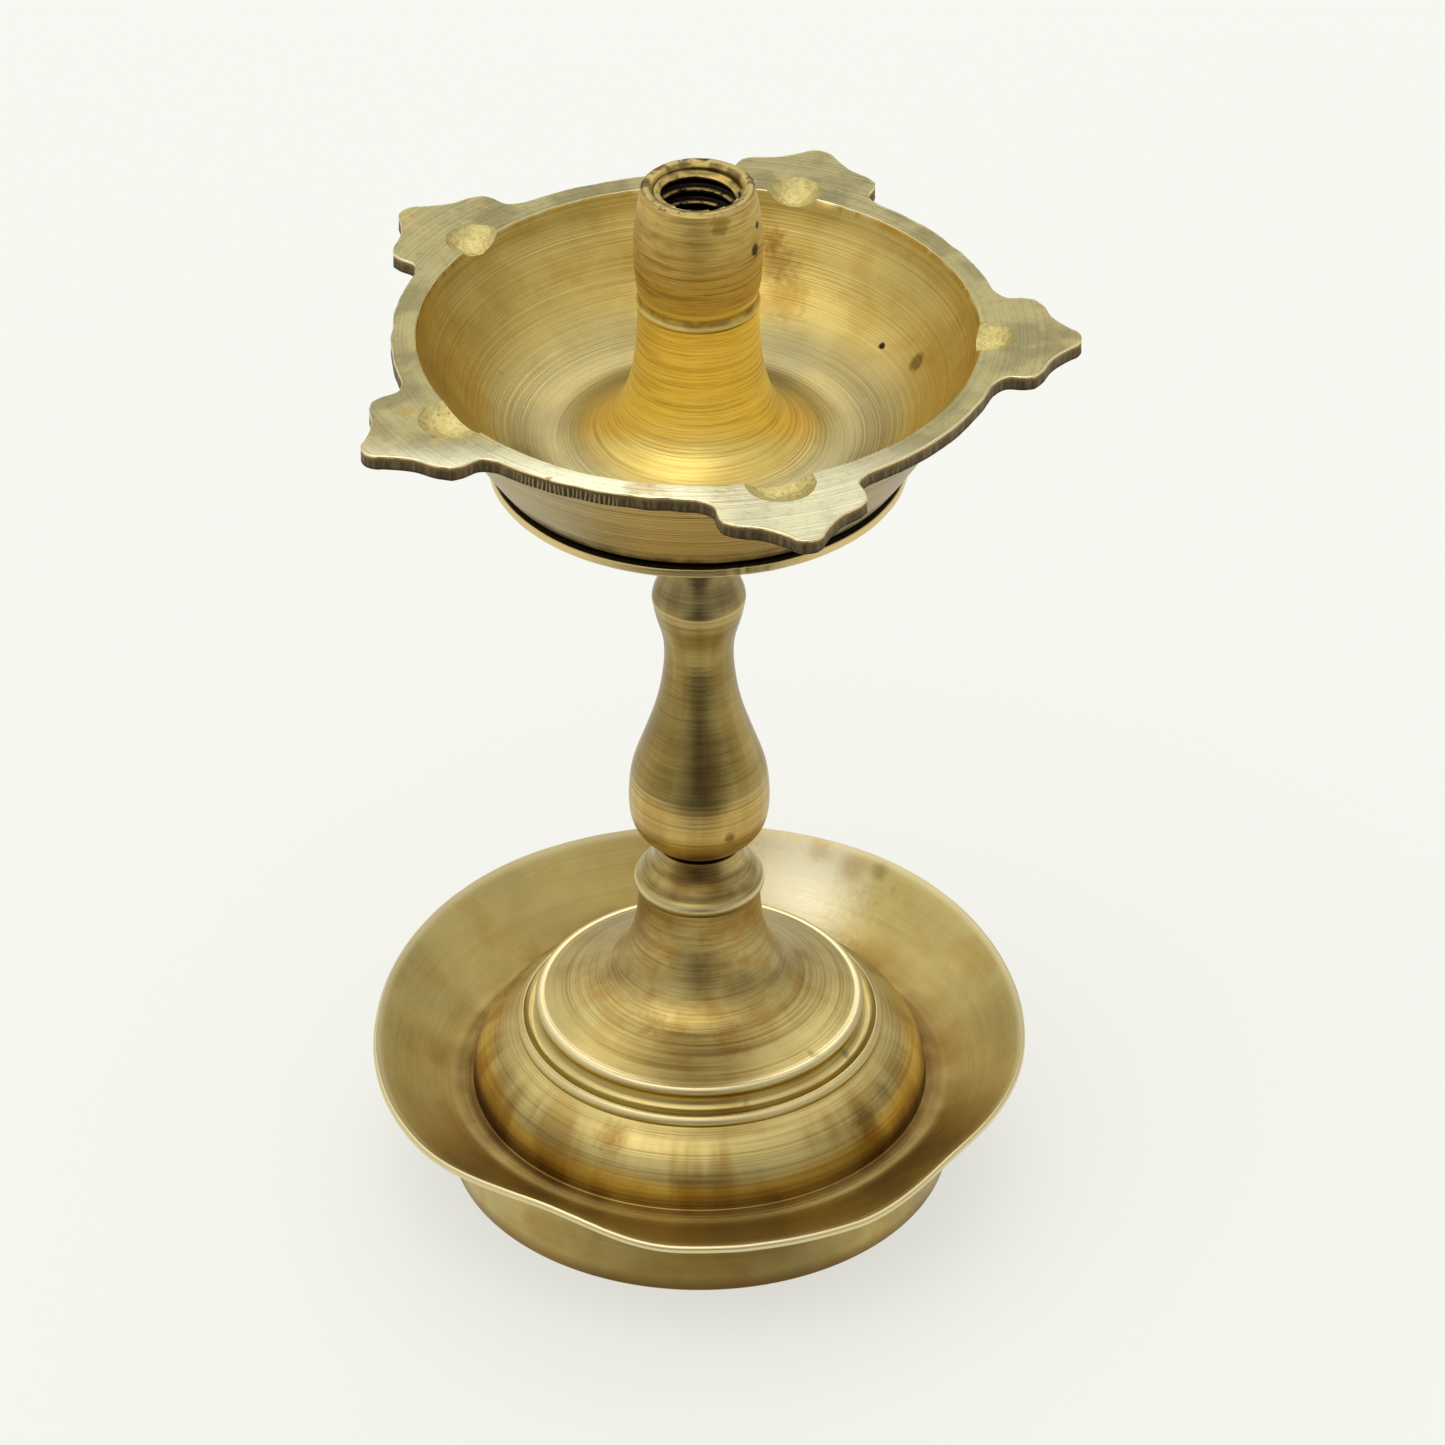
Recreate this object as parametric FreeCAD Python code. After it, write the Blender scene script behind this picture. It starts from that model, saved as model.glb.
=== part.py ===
import FreeCAD, Part
import math
import os

# A small five-wick pedestal oil lamp, cast and turned in brass, that screws
# together from three castings and two threaded studs:
#   base        foot ring, drip tray, dome and collar in one hollow casting
#   lower_stud  screw that joins the stem to the base
#   stem        baluster with a knob and a flared top
#   upper_stud  screw that joins the dish to the stem
#   dish        oil dish with five wick spouts and a threaded socket column
# Millimetres. The lamp's axis is Z, the foot stands on z = 0, the front is -Y.

Vector = FreeCAD.Vector

# Base casting: foot, tray and dome
foot_radius = 36.9
foot_wall = 2.6
foot_height = 10.4
foot_edge = 0.5
tray_floor_thickness = 2.0
tray_radius = 47.5
tray_height = 20.6
tray_wall = 1.3
tray_wave = 3.0
dome_radius = 33.4
dome_wall = 2.5
lower_bead_radius = 26.8
lower_bead_height = 23.2
upper_bead_radius = 23.7
upper_bead_height = 26.9
bead_size = 0.8
shoulder_radius = 14.2
shoulder_height = 31.6
neck_radius = 8.9
neck_height = 44.4
collar_radius = 9.5
collar_height = 48.1
collar_bead = 1.2
collar_top_radius = 6.2
base_height = 54.4

# Stem
stem_length = 62.8
belly_radius = 10.2
knob_radius = 6.75
stem_neck_radius = 4.9
stem_top_radius = 8.9
stem_top_edge = 1.5

# Dish: heights are measured from its seat on the stem
dish_boss_radius = 9.6
dish_boss_height = 2.35
lip_radius = 29.7
lip_thickness = 1.3
lip_recess = 0.6
lip_land = 2.2
groove_radius = 27.9
groove_height = 0.95
wall_foot_radius = 29.4
rim_inner_radius = 39.4
rim_outer_radius = 43.0
rim_height = 24.0
rim_thickness = 2.3
wall_thickness = 1.7
bowl_floor_height = 6.7
bowl_floor_radius = 21.0

# Wick spouts
spout_count = 5
spout_first_azimuth = -2.0
spout_reach = 12.3
spout_half_width = 11.0
notch_radius = 5.0
notch_depth = 2.0
notch_centre_radius = 40.3

# Socket column
column_radius = 8.45
column_ring_radius = 8.75
column_ring_height = 29.3
barrel_foot_radius = 8.5
barrel_belly_radius = 9.05
barrel_top_radius = 8.0
barrel_height = 47.6
barrel_edge = 0.4
socket_crest_radius = 5.15
socket_root_radius = 6.1
socket_lead = 0.8
socket_thread_length = 10.0
socket_relief = 0.7
socket_depth = 15.0
socket_pitch = 2.117

# Studs and the sockets they turn in
stud_radius = 3.175
stud_pitch = 1.27
stud_turns = 7
stud_thread_depth = 0.8
stud_end_chamfer = 0.7
stud_clearance = 0.05
stud_end_gap = 0.6
stud_mouth_chamfer = 0.5
seat_gap = 0.1

# How far a cutting shape runs past the face that it opens
overrun = 1.0

# Outlines as shares. The stem's are (share of its length, share of the belly's radius)
# for the baluster and (share of its length, share of the knob's radius) above the knob.
baluster_shares = (
    (0.000, 0.54), (0.015, 0.66), (0.034, 0.80), (0.060, 0.92), (0.094, 0.984),
    (0.131, 1.00), (0.166, 0.992), (0.215, 0.950), (0.266, 0.852), (0.333, 0.708),
    (0.398, 0.590), (0.465, 0.517), (0.532, 0.488), (0.581, 0.520), (0.631, 0.604),
)
knob_height_share = 0.679
knob_top_shares = ((0.696, 0.975), (0.712, 0.925), (0.742, 0.800))
stem_neck_height_share = 0.785
stem_flare_shares = ((0.850, 0.58), (0.905, 0.71), (0.950, 0.87))

# The dome's side between the tray floor and the lower bead: (share out from the bead
# to the dome's radius, share up from the floor to the bead).
dome_side_shares = ((0.985, 0.20), (0.88, 0.43), (0.665, 0.66), (0.38, 0.85), (0.13, 0.955))
# The dome's top between the upper bead and the neck's shoulder, and the neck above it:
# (share in, share up).
dome_top_shares = ((0.30, 0.26), (0.66, 0.60))
neck_flare_shares = ((0.36, 0.14), (0.64, 0.34), (0.88, 0.64))
# The collar's cove between its top edge and its bead: (share out, share down).
cove_shares = ((0.13, 0.30), (0.36, 0.58), (0.72, 0.78))

# The bowl's wall inside, from its floor to its rim, and outside: (share out, share up).
bowl_inside_shares = ((0.26, 0.09), (0.485, 0.23), (0.665, 0.43), (0.825, 0.665), (0.945, 0.865))
bowl_outside_shares = ((0.21, 0.19), (0.46, 0.44), (0.715, 0.70), (0.915, 0.91))
# The column's root, from the bowl's floor up to its shaft: (share in, share up).
column_root_shares = (
    (0.335, 0.04), (0.575, 0.12), (0.75, 0.225), (0.845, 0.335), (0.912, 0.46), (0.956, 0.60),
)
# The barrel above the ring: (share of the way up, share of the bulge).
barrel_bulge_shares = ((0.20, 0.70), (0.42, 1.00), (0.72, 0.78))

# Half of a spout's edge: (share of its reach past the rim, share of its half width).
spout_root_shares = ((-0.14, 1.12), (0.03, 0.945), (0.20, 0.955), (0.375, 0.925))
spout_waist_shares = ((0.375, 0.925), (0.49, 0.78), (0.58, 0.56), (0.71, 0.373), (0.87, 0.215))
# The spouts were filed by hand, so each reaches a little differently, in order round the rim.
spout_reach_shares = (0.86, 0.78, 0.86, 1.00, 1.00)

# The notches were cast and filed by hand too, so their sizes differ, in the same order.
notch_shares = (0.76, 0.80, 0.84, 1.04, 1.00)

# The tray's rim rises and dips round the circle: (azimuth, share of the wave). Where it is
# bent down it also leans out, by a share of the way that it went down.
tray_wave_shares = (
    (60.0, 1.0), (120.0, 0.95), (212.0, -0.55), (240.0, 0.0), (266.0, -1.0), (297.0, -0.95),
    (325.0, 0.1), (350.0, -0.05), (420.0, 1.0),
)
tray_lean_share = 0.3
tray_wave_samples = 48
tray_wall_steps = 4
tray_slope_power = 1.4
# The rounded edge of the tray's rim: (share of the wall down, share of the wall out).
tray_edge_shares = ((0.15, 0.27), (0.5, 0.38), (0.81, 0.27))

# Threads: half widths of the ridge or groove at its root and crest, as shares of the pitch
thread_wide_share = 0.43
thread_narrow_share = 0.07

# Heights that follow from the sizes above
stem_seat = base_height + seat_gap
dish_seat = stem_seat + stem_length + seat_gap
tray_floor = foot_height + tray_floor_thickness
stud_grip = stud_turns * stud_pitch
socket_bore_radius = stud_radius + stud_clearance


def between(start, end, shares):
    """Points from start towards end, each (share across, share up)."""
    return [
        (start[0] + (end[0] - start[0]) * across, start[1] + (end[1] - start[1]) * up)
        for across, up in shares
    ]


def lines(*points):
    """Straight edges through (radius, height) points."""
    corners = [Vector(radius, 0, height) for radius, height in points]
    return [Part.LineSegment(a, b).toShape() for a, b in zip(corners, corners[1:])]


def curve(*points):
    """One smooth edge through (radius, height) points."""
    spline = Part.BSplineCurve()
    spline.interpolate([Vector(radius, 0, height) for radius, height in points])
    return [spline.toShape()]


def arc(start, middle, end):
    """A circular edge through three (radius, height) points."""
    ends = [Vector(radius, 0, height) for radius, height in (start, middle, end)]
    return [Part.Arc(*ends).toShape()]


def turned(edges):
    """The solid that a closed outline of edges sweeps round the lamp's axis."""
    outline = Part.Wire(Part.__sortEdges__(edges))
    return Part.Face(outline).revolve(Vector(0, 0, 0), Vector(0, 0, 1), 360)


def helix_ridge(profile, pitch, length, radius, start_height):
    """A closed profile in the XZ plane, swept up a right-hand helix."""
    path = Part.makeHelix(pitch, length, radius)
    path.translate(Vector(0, 0, start_height))
    corners = [Vector(r, 0, start_height + z) for r, z in profile]
    outline = Part.makePolygon(corners + corners[:1])
    return Part.Wire(path.Edges).makePipeShell([outline], True, True)


def wave_share(azimuth):
    """How far the tray's rim is up or down at an azimuth, eased between the table's places."""
    turn = (azimuth - tray_wave_shares[0][0]) % 360 + tray_wave_shares[0][0]
    for (start, low), (end, high) in zip(tray_wave_shares, tray_wave_shares[1:]):
        if start <= turn <= end:
            ease = (1 - math.cos(math.pi * (turn - start) / (end - start))) / 2
            return low + (high - low) * ease
    return tray_wave_shares[-1][1]


def tray_ring(up_share, down, out):
    """A wavy closed curve on the tray's wall, moved down and out from its inner face."""
    points = []
    for step in range(tray_wave_samples):
        azimuth = 360 * step / tray_wave_samples
        angle = math.radians(azimuth)
        wave = tray_wave * wave_share(azimuth)
        rim = tray_height + wave
        reach = tray_radius - tray_lean_share * min(wave, 0)
        root_radius = foot_radius - tray_wall
        radius = root_radius + (reach - root_radius) * up_share + out
        root = tray_floor - tray_wall / 10
        height = root + (rim - root) * up_share ** tray_slope_power - down
        points.append(Vector(radius * math.cos(angle), radius * math.sin(angle), height))
    spline = Part.BSplineCurve()
    spline.interpolate(Points=points, PeriodicFlag=True)
    return Part.Wire(spline.toShape())


def tray_wall_solid():
    """The tray's flared wall with its wavy, rounded rim."""
    steps = range(tray_wall_steps + 1)
    inside = [tray_ring(step / tray_wall_steps, 0, 0) for step in steps]
    edge = [tray_ring(1, tray_wall * down, tray_wall * out) for down, out in tray_edge_shares]
    outside = [tray_ring(step / tray_wall_steps, tray_wall, 0) for step in reversed(steps)]
    skins = [
        Part.makeLoft(inside, False, False),
        Part.makeLoft([inside[-1]] + edge + [outside[0]], False, False),
        Part.makeLoft(outside, False, False),
        Part.makeLoft([outside[-1], inside[0]], False, True),
    ]
    shell = Part.makeShell([face for skin in skins for face in skin.Faces])
    shell.sewShape()
    return Part.makeSolid(shell)


def stud_socket(mouth, direction):
    """The cutting shape of a stud's plain bore: from its mouth, up (1) or down (-1)."""
    depth = stud_grip + stud_end_gap
    axis = Vector(0, 0, direction)
    bore = Part.makeCylinder(
        socket_bore_radius, depth + overrun, Vector(0, 0, mouth - direction * overrun), axis
    )
    funnel = Part.makeCone(
        socket_bore_radius + stud_mouth_chamfer + overrun,
        socket_bore_radius,
        stud_mouth_chamfer + overrun,
        Vector(0, 0, mouth - direction * overrun),
        axis,
    )
    return bore.fuse(funnel)


def stud(middle):
    """A double-ended threaded stud, centred on the joint that it closes."""
    core_radius = stud_radius - stud_thread_depth
    bottom = middle - stud_grip
    length = 2 * stud_grip
    wide = stud_pitch * thread_wide_share
    narrow = stud_pitch * thread_narrow_share
    sunk = core_radius - stud_thread_depth / 2
    profile = ((sunk, -wide), (stud_radius, -narrow), (stud_radius, narrow), (sunk, wide))
    ridge = helix_ridge(
        profile, stud_pitch, length + 2 * stud_pitch, core_radius, bottom - stud_pitch
    )
    core = Part.makeCylinder(core_radius, length, Vector(0, 0, bottom))
    top = bottom + length
    inner = stud_radius - stud_end_chamfer
    outer = stud_radius + stud_end_chamfer
    slope = outer - inner
    envelope = turned(lines(
        (0, bottom), (inner, bottom), (outer, bottom + slope),
        (outer, top - slope), (inner, top), (0, top), (0, bottom),
    ))
    return core.fuse(ridge.common(envelope))


def base():
    """Foot ring, tray floor, dome, neck and collar, hollow underneath."""
    foot_inside = foot_radius - foot_wall
    lower_bead = (lower_bead_radius, lower_bead_height)
    upper_bead = (upper_bead_radius, upper_bead_height)
    shoulder = (shoulder_radius, shoulder_height)
    neck = (neck_radius, neck_height)
    collar_under = (neck_radius, collar_height - collar_bead)
    collar_over = (collar_radius - collar_bead / 2, collar_height + collar_bead)
    collar_top = (collar_top_radius, base_height)
    side_foot = (dome_radius, tray_floor)
    lower_start = (lower_bead_radius, lower_bead_height - bead_size)
    lower_end = (lower_bead_radius - bead_size, lower_bead_height + bead_size)
    upper_start = (upper_bead_radius + bead_size / 2, upper_bead_height - bead_size)
    upper_end = (upper_bead_radius - bead_size, upper_bead_height + bead_size / 2)
    side = between(lower_start, side_foot, [(out, 1 - up) for out, up in dome_side_shares])
    outside = lines(
        (0, base_height), collar_top,
    ) + curve(
        collar_top, *between(collar_top, collar_over, cove_shares), collar_over,
    ) + arc(
        collar_over, (collar_radius, collar_height), (collar_under[0], collar_under[1]),
    ) + lines(
        collar_under, neck,
    ) + curve(
        neck,
        *reversed(between(shoulder, neck, neck_flare_shares)),
        shoulder,
        *reversed(between(upper_end, shoulder, dome_top_shares)),
        upper_end,
    ) + arc(
        upper_end, (upper_bead_radius + bead_size / 4, upper_bead_height + bead_size / 4), upper_start,
    ) + arc(
        upper_start,
        (lower_end[0] - bead_size / 4, lower_end[1] - bead_size / 4),
        lower_end,
    ) + arc(
        lower_end, (lower_bead_radius, lower_bead_height + bead_size / 4), lower_start,
    ) + curve(
        lower_start, *reversed(side), side_foot,
    ) + lines(
        side_foot,
        (foot_radius, tray_floor),
        (foot_radius, foot_edge),
        (foot_radius - foot_edge, 0),
        (foot_inside + foot_edge, 0),
        (foot_inside, foot_edge),
        (foot_inside, foot_height),
        (dome_radius - dome_wall, foot_height),
    )
    ceiling = shoulder_height - dome_wall
    hollow_foot = (dome_radius - dome_wall, foot_height)
    hollow_waist = (lower_bead_radius - dome_wall, lower_bead_height - dome_wall)
    hollow_side = between(hollow_waist, hollow_foot, [(out, 1 - up) for out, up in dome_side_shares])
    hollow = curve(
        hollow_foot, *hollow_side[:-1], hollow_waist,
    ) + curve(
        hollow_waist,
        (upper_bead_radius - 2 * dome_wall, upper_bead_height - dome_wall),
        (shoulder_radius - dome_wall, ceiling),
    ) + lines(
        (shoulder_radius - dome_wall, ceiling), (0, ceiling), (0, base_height),
    )
    body = turned(outside + hollow)
    return body.fuse(tray_wall_solid()).cut(stud_socket(base_height, -1))


def stem():
    """Baluster, sharp-edged knob, neck and flared seat, with a stud socket at each end."""
    def at(share, radius):
        return (radius, stem_seat + stem_length * share)

    knob = at(knob_height_share, knob_radius)
    neck = at(stem_neck_height_share, stem_neck_radius)
    baluster = [at(up, belly_radius * share) for up, share in baluster_shares]
    knob_top = [at(up, knob_radius * share) for up, share in knob_top_shares]
    flare = [at(up, stem_top_radius * share) for up, share in stem_flare_shares]
    top = stem_seat + stem_length
    flare_end = (stem_top_radius, top - stem_top_edge)
    body = turned(
        lines((0, top), (0, stem_seat), baluster[0])
        + curve(*baluster, knob)
        + curve(knob, *knob_top, neck, *flare, flare_end)
        + lines(flare_end, (stem_top_radius, top), (0, top))
    )
    return body.cut(stud_socket(stem_seat, 1)).cut(stud_socket(top, -1))


def spout(azimuth, reach_share):
    """One flat spout: a waisted tongue with a lobe on each side, as thick as the rim."""
    def at(share, side_share, side):
        past = spout_reach * share * (reach_share if share > 0 else 1)
        return Vector(rim_outer_radius + past, side * side_share * spout_half_width, 0)

    def smooth(points):
        spline = Part.BSplineCurve()
        spline.interpolate(points)
        return spline.toShape()

    edges = []
    for side in (1, -1):
        root = [at(out, across, side) for out, across in spout_root_shares]
        waist = [at(out, across, side) for out, across in spout_waist_shares]
        inner_corner = Vector(rim_inner_radius, root[0].y, 0)
        edges += [smooth(root), smooth(waist), Part.LineSegment(inner_corner, root[0]).toShape()]
    last = spout_waist_shares[-1]
    edges.append(Part.Arc(at(*last, 1), at(1, 0, 1), at(*last, -1)).toShape())
    half = spout_half_width * spout_root_shares[0][1]
    edges.append(Part.LineSegment(
        Vector(rim_inner_radius, half, 0), Vector(rim_inner_radius, -half, 0)
    ).toShape())
    plate = Part.Face(Part.Wire(Part.__sortEdges__(edges)))
    plate = plate.extrude(Vector(0, 0, rim_thickness))
    plate.translate(Vector(0, 0, dish_seat + rim_height - rim_thickness))
    plate.rotate(Vector(0, 0, 0), Vector(0, 0, 1), azimuth)
    return plate


def wick_notch(azimuth, share):
    """The scoop across the rim in which a wick lies."""
    ball_radius = ((notch_radius * share) ** 2 + notch_depth ** 2) / (2 * notch_depth)
    angle = math.radians(azimuth)
    outward = Vector(math.cos(angle), math.sin(angle), 0)
    height = dish_seat + rim_height - notch_depth + ball_radius
    return Part.makeSphere(
        ball_radius, outward * notch_centre_radius + Vector(0, 0, height), outward
    )


def finial_bore():
    """The cutting shape of the column's hole: thread depth, relief, then the core bore."""
    mouth = dish_seat + barrel_height
    shelf = mouth - socket_lead - socket_thread_length - socket_relief
    bottom = mouth - socket_depth
    return turned(lines(
        (0, mouth + overrun), (socket_root_radius, mouth + overrun), (socket_root_radius, shelf),
        (socket_crest_radius, shelf), (socket_crest_radius, bottom), (0, bottom),
        (0, mouth + overrun),
    ))


def finial_thread():
    """The ridge of the female thread that stands in from the bore's wall."""
    mouth = dish_seat + barrel_height
    depth = socket_root_radius - socket_crest_radius
    sunk = socket_root_radius + depth / 2
    wide = socket_pitch * thread_wide_share
    narrow = socket_pitch * thread_narrow_share
    profile = (
        (sunk, -wide), (socket_crest_radius, -narrow), (socket_crest_radius, narrow), (sunk, wide),
    )
    start = mouth - socket_lead - socket_thread_length
    ridge = helix_ridge(
        profile,
        socket_pitch,
        socket_thread_length + 2 * socket_pitch,
        socket_root_radius,
        start - socket_pitch,
    )
    envelope = Part.makeCylinder(sunk + depth, socket_thread_length, Vector(0, 0, start))
    return ridge.common(envelope)


def dish():
    """Bowl, undercut lip, rim with five spouts, and the socket column in its middle."""
    def up(height):
        return dish_seat + height

    lip_top = dish_boss_height + lip_thickness
    wall_foot = (wall_foot_radius, up(lip_top + groove_height))
    rim_under = (rim_inner_radius + wall_thickness / 3, up(rim_height - rim_thickness))
    rim_inner = (rim_inner_radius, up(rim_height))
    floor = (bowl_floor_radius, up(bowl_floor_height))
    shaft = (column_radius, up(column_ring_height - 2 * (column_ring_radius - column_radius)))
    ring = (column_ring_radius, up(column_ring_height))
    barrel_foot = (barrel_foot_radius, up(column_ring_height + column_ring_radius / 4))
    barrel_top = (barrel_top_radius, up(barrel_height - barrel_edge))
    barrel_rise = barrel_top[1] - barrel_foot[1]
    bulge = [
        (
            barrel_foot_radius + (barrel_top_radius - barrel_foot_radius) * rise
            + (barrel_belly_radius - barrel_foot_radius) * 4 / 3 * share,
            barrel_foot[1] + barrel_rise * rise,
        )
        for rise, share in barrel_bulge_shares
    ]
    cove = (
        (ring[0] + barrel_foot_radius) / 2 - (ring[0] - column_radius),
        (ring[1] + barrel_foot[1]) / 2,
    )
    recess = up(dish_boss_height + lip_recess)
    body = turned(
        lines(
            (0, up(barrel_height)), (0, up(0)), (dish_boss_radius, up(0)),
            (dish_boss_radius, recess),
            (lip_radius - lip_land, recess),
            (lip_radius - lip_land, up(dish_boss_height)),
            (lip_radius, up(dish_boss_height)),
            (lip_radius, up(lip_top)),
            (groove_radius, up(lip_top)),
            (groove_radius, wall_foot[1]),
            wall_foot,
        )
        + curve(wall_foot, *between(wall_foot, rim_under, bowl_outside_shares), rim_under)
        + lines(
            rim_under, (rim_outer_radius, rim_under[1]), (rim_outer_radius, up(rim_height)), rim_inner,
        )
        + curve(
            rim_inner,
            *reversed(between(floor, rim_inner, bowl_inside_shares)),
            floor,
            *between(floor, shaft, column_root_shares),
            shaft,
        )
        + lines(shaft, ring)
        + curve(ring, cove, barrel_foot, *bulge, barrel_top)
        + lines(
            barrel_top, (barrel_top_radius - barrel_edge, up(barrel_height)), (0, up(barrel_height)),
        )
    )
    azimuths = [spout_first_azimuth + 360 * k / spout_count for k in range(spout_count)]
    for azimuth, share in zip(azimuths, spout_reach_shares):
        body = body.fuse(spout(azimuth, share))
    for azimuth, share in zip(azimuths, notch_shares):
        body = body.cut(wick_notch(azimuth, share))
    body = body.removeSplitter().cut(finial_bore()).cut(stud_socket(dish_seat, 1))
    return body.fuse(finial_thread())


parts = {
    "base": base(),
    "lower_stud": stud(base_height + seat_gap / 2),
    "stem": stem(),
    "upper_stud": stud(dish_seat - seat_gap / 2),
    "dish": dish(),
}

os.makedirs("parts", exist_ok=True)
for name, shape in parts.items():
    shape.exportStep(f"parts/{name}.step")
    box = shape.BoundBox
    print(name, shape.ShapeType, len(shape.Solids), shape.isValid(), round(shape.Volume, 1),
          [round(v, 2) for v in (box.XMin, box.XMax, box.YMin, box.YMax, box.ZMin, box.ZMax)])
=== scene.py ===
import math

import bmesh
import bpy
import numpy as np
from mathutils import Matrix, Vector, noise

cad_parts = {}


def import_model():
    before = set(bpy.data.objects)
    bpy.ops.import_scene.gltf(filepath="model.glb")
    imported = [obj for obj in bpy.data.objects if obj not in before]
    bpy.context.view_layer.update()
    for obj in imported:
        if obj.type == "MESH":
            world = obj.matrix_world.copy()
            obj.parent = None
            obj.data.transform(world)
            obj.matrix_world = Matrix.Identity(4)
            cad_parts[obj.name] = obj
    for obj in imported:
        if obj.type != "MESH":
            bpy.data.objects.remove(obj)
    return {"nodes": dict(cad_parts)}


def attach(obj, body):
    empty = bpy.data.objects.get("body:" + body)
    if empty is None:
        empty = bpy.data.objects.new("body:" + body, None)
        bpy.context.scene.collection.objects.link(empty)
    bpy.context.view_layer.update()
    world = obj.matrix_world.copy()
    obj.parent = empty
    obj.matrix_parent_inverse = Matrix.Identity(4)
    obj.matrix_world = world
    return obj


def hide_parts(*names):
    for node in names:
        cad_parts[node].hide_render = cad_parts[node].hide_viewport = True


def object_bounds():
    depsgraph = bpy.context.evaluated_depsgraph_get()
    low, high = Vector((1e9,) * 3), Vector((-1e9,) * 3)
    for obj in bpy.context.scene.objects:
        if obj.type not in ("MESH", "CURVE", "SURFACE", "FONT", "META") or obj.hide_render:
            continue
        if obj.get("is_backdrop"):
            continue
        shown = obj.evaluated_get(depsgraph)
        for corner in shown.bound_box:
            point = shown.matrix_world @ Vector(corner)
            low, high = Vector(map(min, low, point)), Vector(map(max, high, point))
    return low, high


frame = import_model()
cad_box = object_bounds()

# The lamp's sizes in millimetres, as the CAD has them. The axis is Z and the front is -Y.
# Heights of the dish, from SHELF to SOCKET_FLOOR, start at DISH_SEAT.
MM = 0.001
BASE_TOP, STEM_SEAT, DISH_SEAT = 54.4, 54.5, 117.4
BORE, BORE_DEPTH, FUNNEL = 3.225, 9.49, 0.5
FOOT, FOOT_IN, HOLLOW_EDGE, HOLLOW_TOP = 36.9, 34.3, 10.4, 29.1
TRAY_FLOOR, TRAY_WALL, TRAY_REACH, TRAY_RIM, TRAY_SWING = 12.4, 1.3, 47.5, 20.6, 3.0
NECK, STEM_LENGTH, BELLY, KNOB = 8.9, 62.8, 10.2, 6.75
SEAT_OUT, SHELF, LIP_LOW, LIP_TOP, LIP_OUT = 9.6, 2.95, 2.35, 3.65, 29.7
RIM_IN, RIM_OUT, RIM_TOP, RIM_UNDER = 39.4, 43.0, 24.0, 21.7
# Each spout: its turn in degrees, its share of the full reach, and its scoop's share of the full width
SPOUT_REACH, SPOUT_HALF = 12.3, 11.0
SPOUT_TURNS = [-2.0 + 72.0 * k for k in range(5)]
SPOUT_REACHES = (0.86, 0.78, 0.86, 1.00, 1.00)
SCOOPS = (0.76, 0.80, 0.84, 1.04, 1.00)
SCOOP_HALF, SCOOP_AT, SCOOP_DEPTH = 5.0, 40.3, 2.0
THREAD_ROOT, THREAD_CREST, THREAD_PITCH = 6.1, 5.15, 2.117
THREAD_LOW, THREAD_HIGH, SOCKET_STEP, SOCKET_FLOOR = 36.8, 46.8, 36.1, 32.6
# The tray's rim rises and falls round the lamp: degrees, share of the swing.
WAVE = (
    (60.0, 1.0), (120.0, 0.95), (212.0, -0.55), (240.0, 0.0), (266.0, -1.0), (297.0, -0.95),
    (325.0, 0.1), (350.0, -0.05), (420.0, 1.0),
)
# Points in a ring, and rings in one turn of the thread
BASE_COLUMNS, STEM_COLUMNS, DISH_COLUMNS, THREAD_STEPS = 216, 128, 160, 14


# Curves and outlines

def natural(points, spacing=0.6):
    """A natural cubic through (radius, height) points, sampled about every spacing."""
    p = np.array(points, float)
    step = np.linalg.norm(np.diff(p, axis=0), axis=1)
    n = len(p)
    a = np.zeros((n, n))
    b = np.zeros((n, 2))
    a[0, 0] = a[-1, -1] = 1
    for i in range(1, n - 1):
        a[i, i - 1: i + 2] = step[i - 1], 2 * (step[i - 1] + step[i]), step[i]
        b[i] = 6 * ((p[i + 1] - p[i]) / step[i] - (p[i] - p[i - 1]) / step[i - 1])
    m = np.linalg.solve(a, b)
    out = [p[0]]
    for i in range(n - 1):
        count = max(1, int(round(step[i] / spacing)))
        for k in range(1, count + 1):
            t = k / count
            u = 1 - t
            bend = step[i] ** 2 / 6
            out.append(u * p[i] + t * p[i + 1] + bend * ((u ** 3 - u) * m[i] + (t ** 3 - t) * m[i + 1]))
    return np.array(out)


def between(start, end, shares):
    return [(start[0] + (end[0] - start[0]) * a, start[1] + (end[1] - start[1]) * b) for a, b in shares]


def arc3(a, b, c, steps=5):
    """A circular arc through three points."""
    (ax, ay), (bx, by), (cx, cy) = a, b, c
    d = 2 * (ax * (by - cy) + bx * (cy - ay) + cx * (ay - by))
    aa, bb, cc = ax * ax + ay * ay, bx * bx + by * by, cx * cx + cy * cy
    ux = (aa * (by - cy) + bb * (cy - ay) + cc * (ay - by)) / d
    uy = (aa * (cx - bx) + bb * (ax - cx) + cc * (bx - ax)) / d
    r = math.hypot(ax - ux, ay - uy)
    t0 = math.atan2(ay - uy, ax - ux)
    turn = lambda t: (t - t0) % math.tau
    tb, tc = turn(math.atan2(by - uy, bx - ux)), turn(math.atan2(cy - uy, cx - ux))
    if tb > tc:
        tc -= math.tau
    return np.array([(ux + r * math.cos(t0 + tc * k / steps), uy + r * math.sin(t0 + tc * k / steps))
                     for k in range(steps + 1)])


def cut(line, length):
    """A polyline shortened by length at its start."""
    line = np.array(line, float)
    while len(line) > 2 and np.linalg.norm(line[1] - line[0]) <= length:
        length -= np.linalg.norm(line[1] - line[0])
        line = line[1:]
    run = line[1] - line[0]
    line[0] = line[0] + run * min(0.45, length / max(np.linalg.norm(run), 1e-9))
    return line


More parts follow.
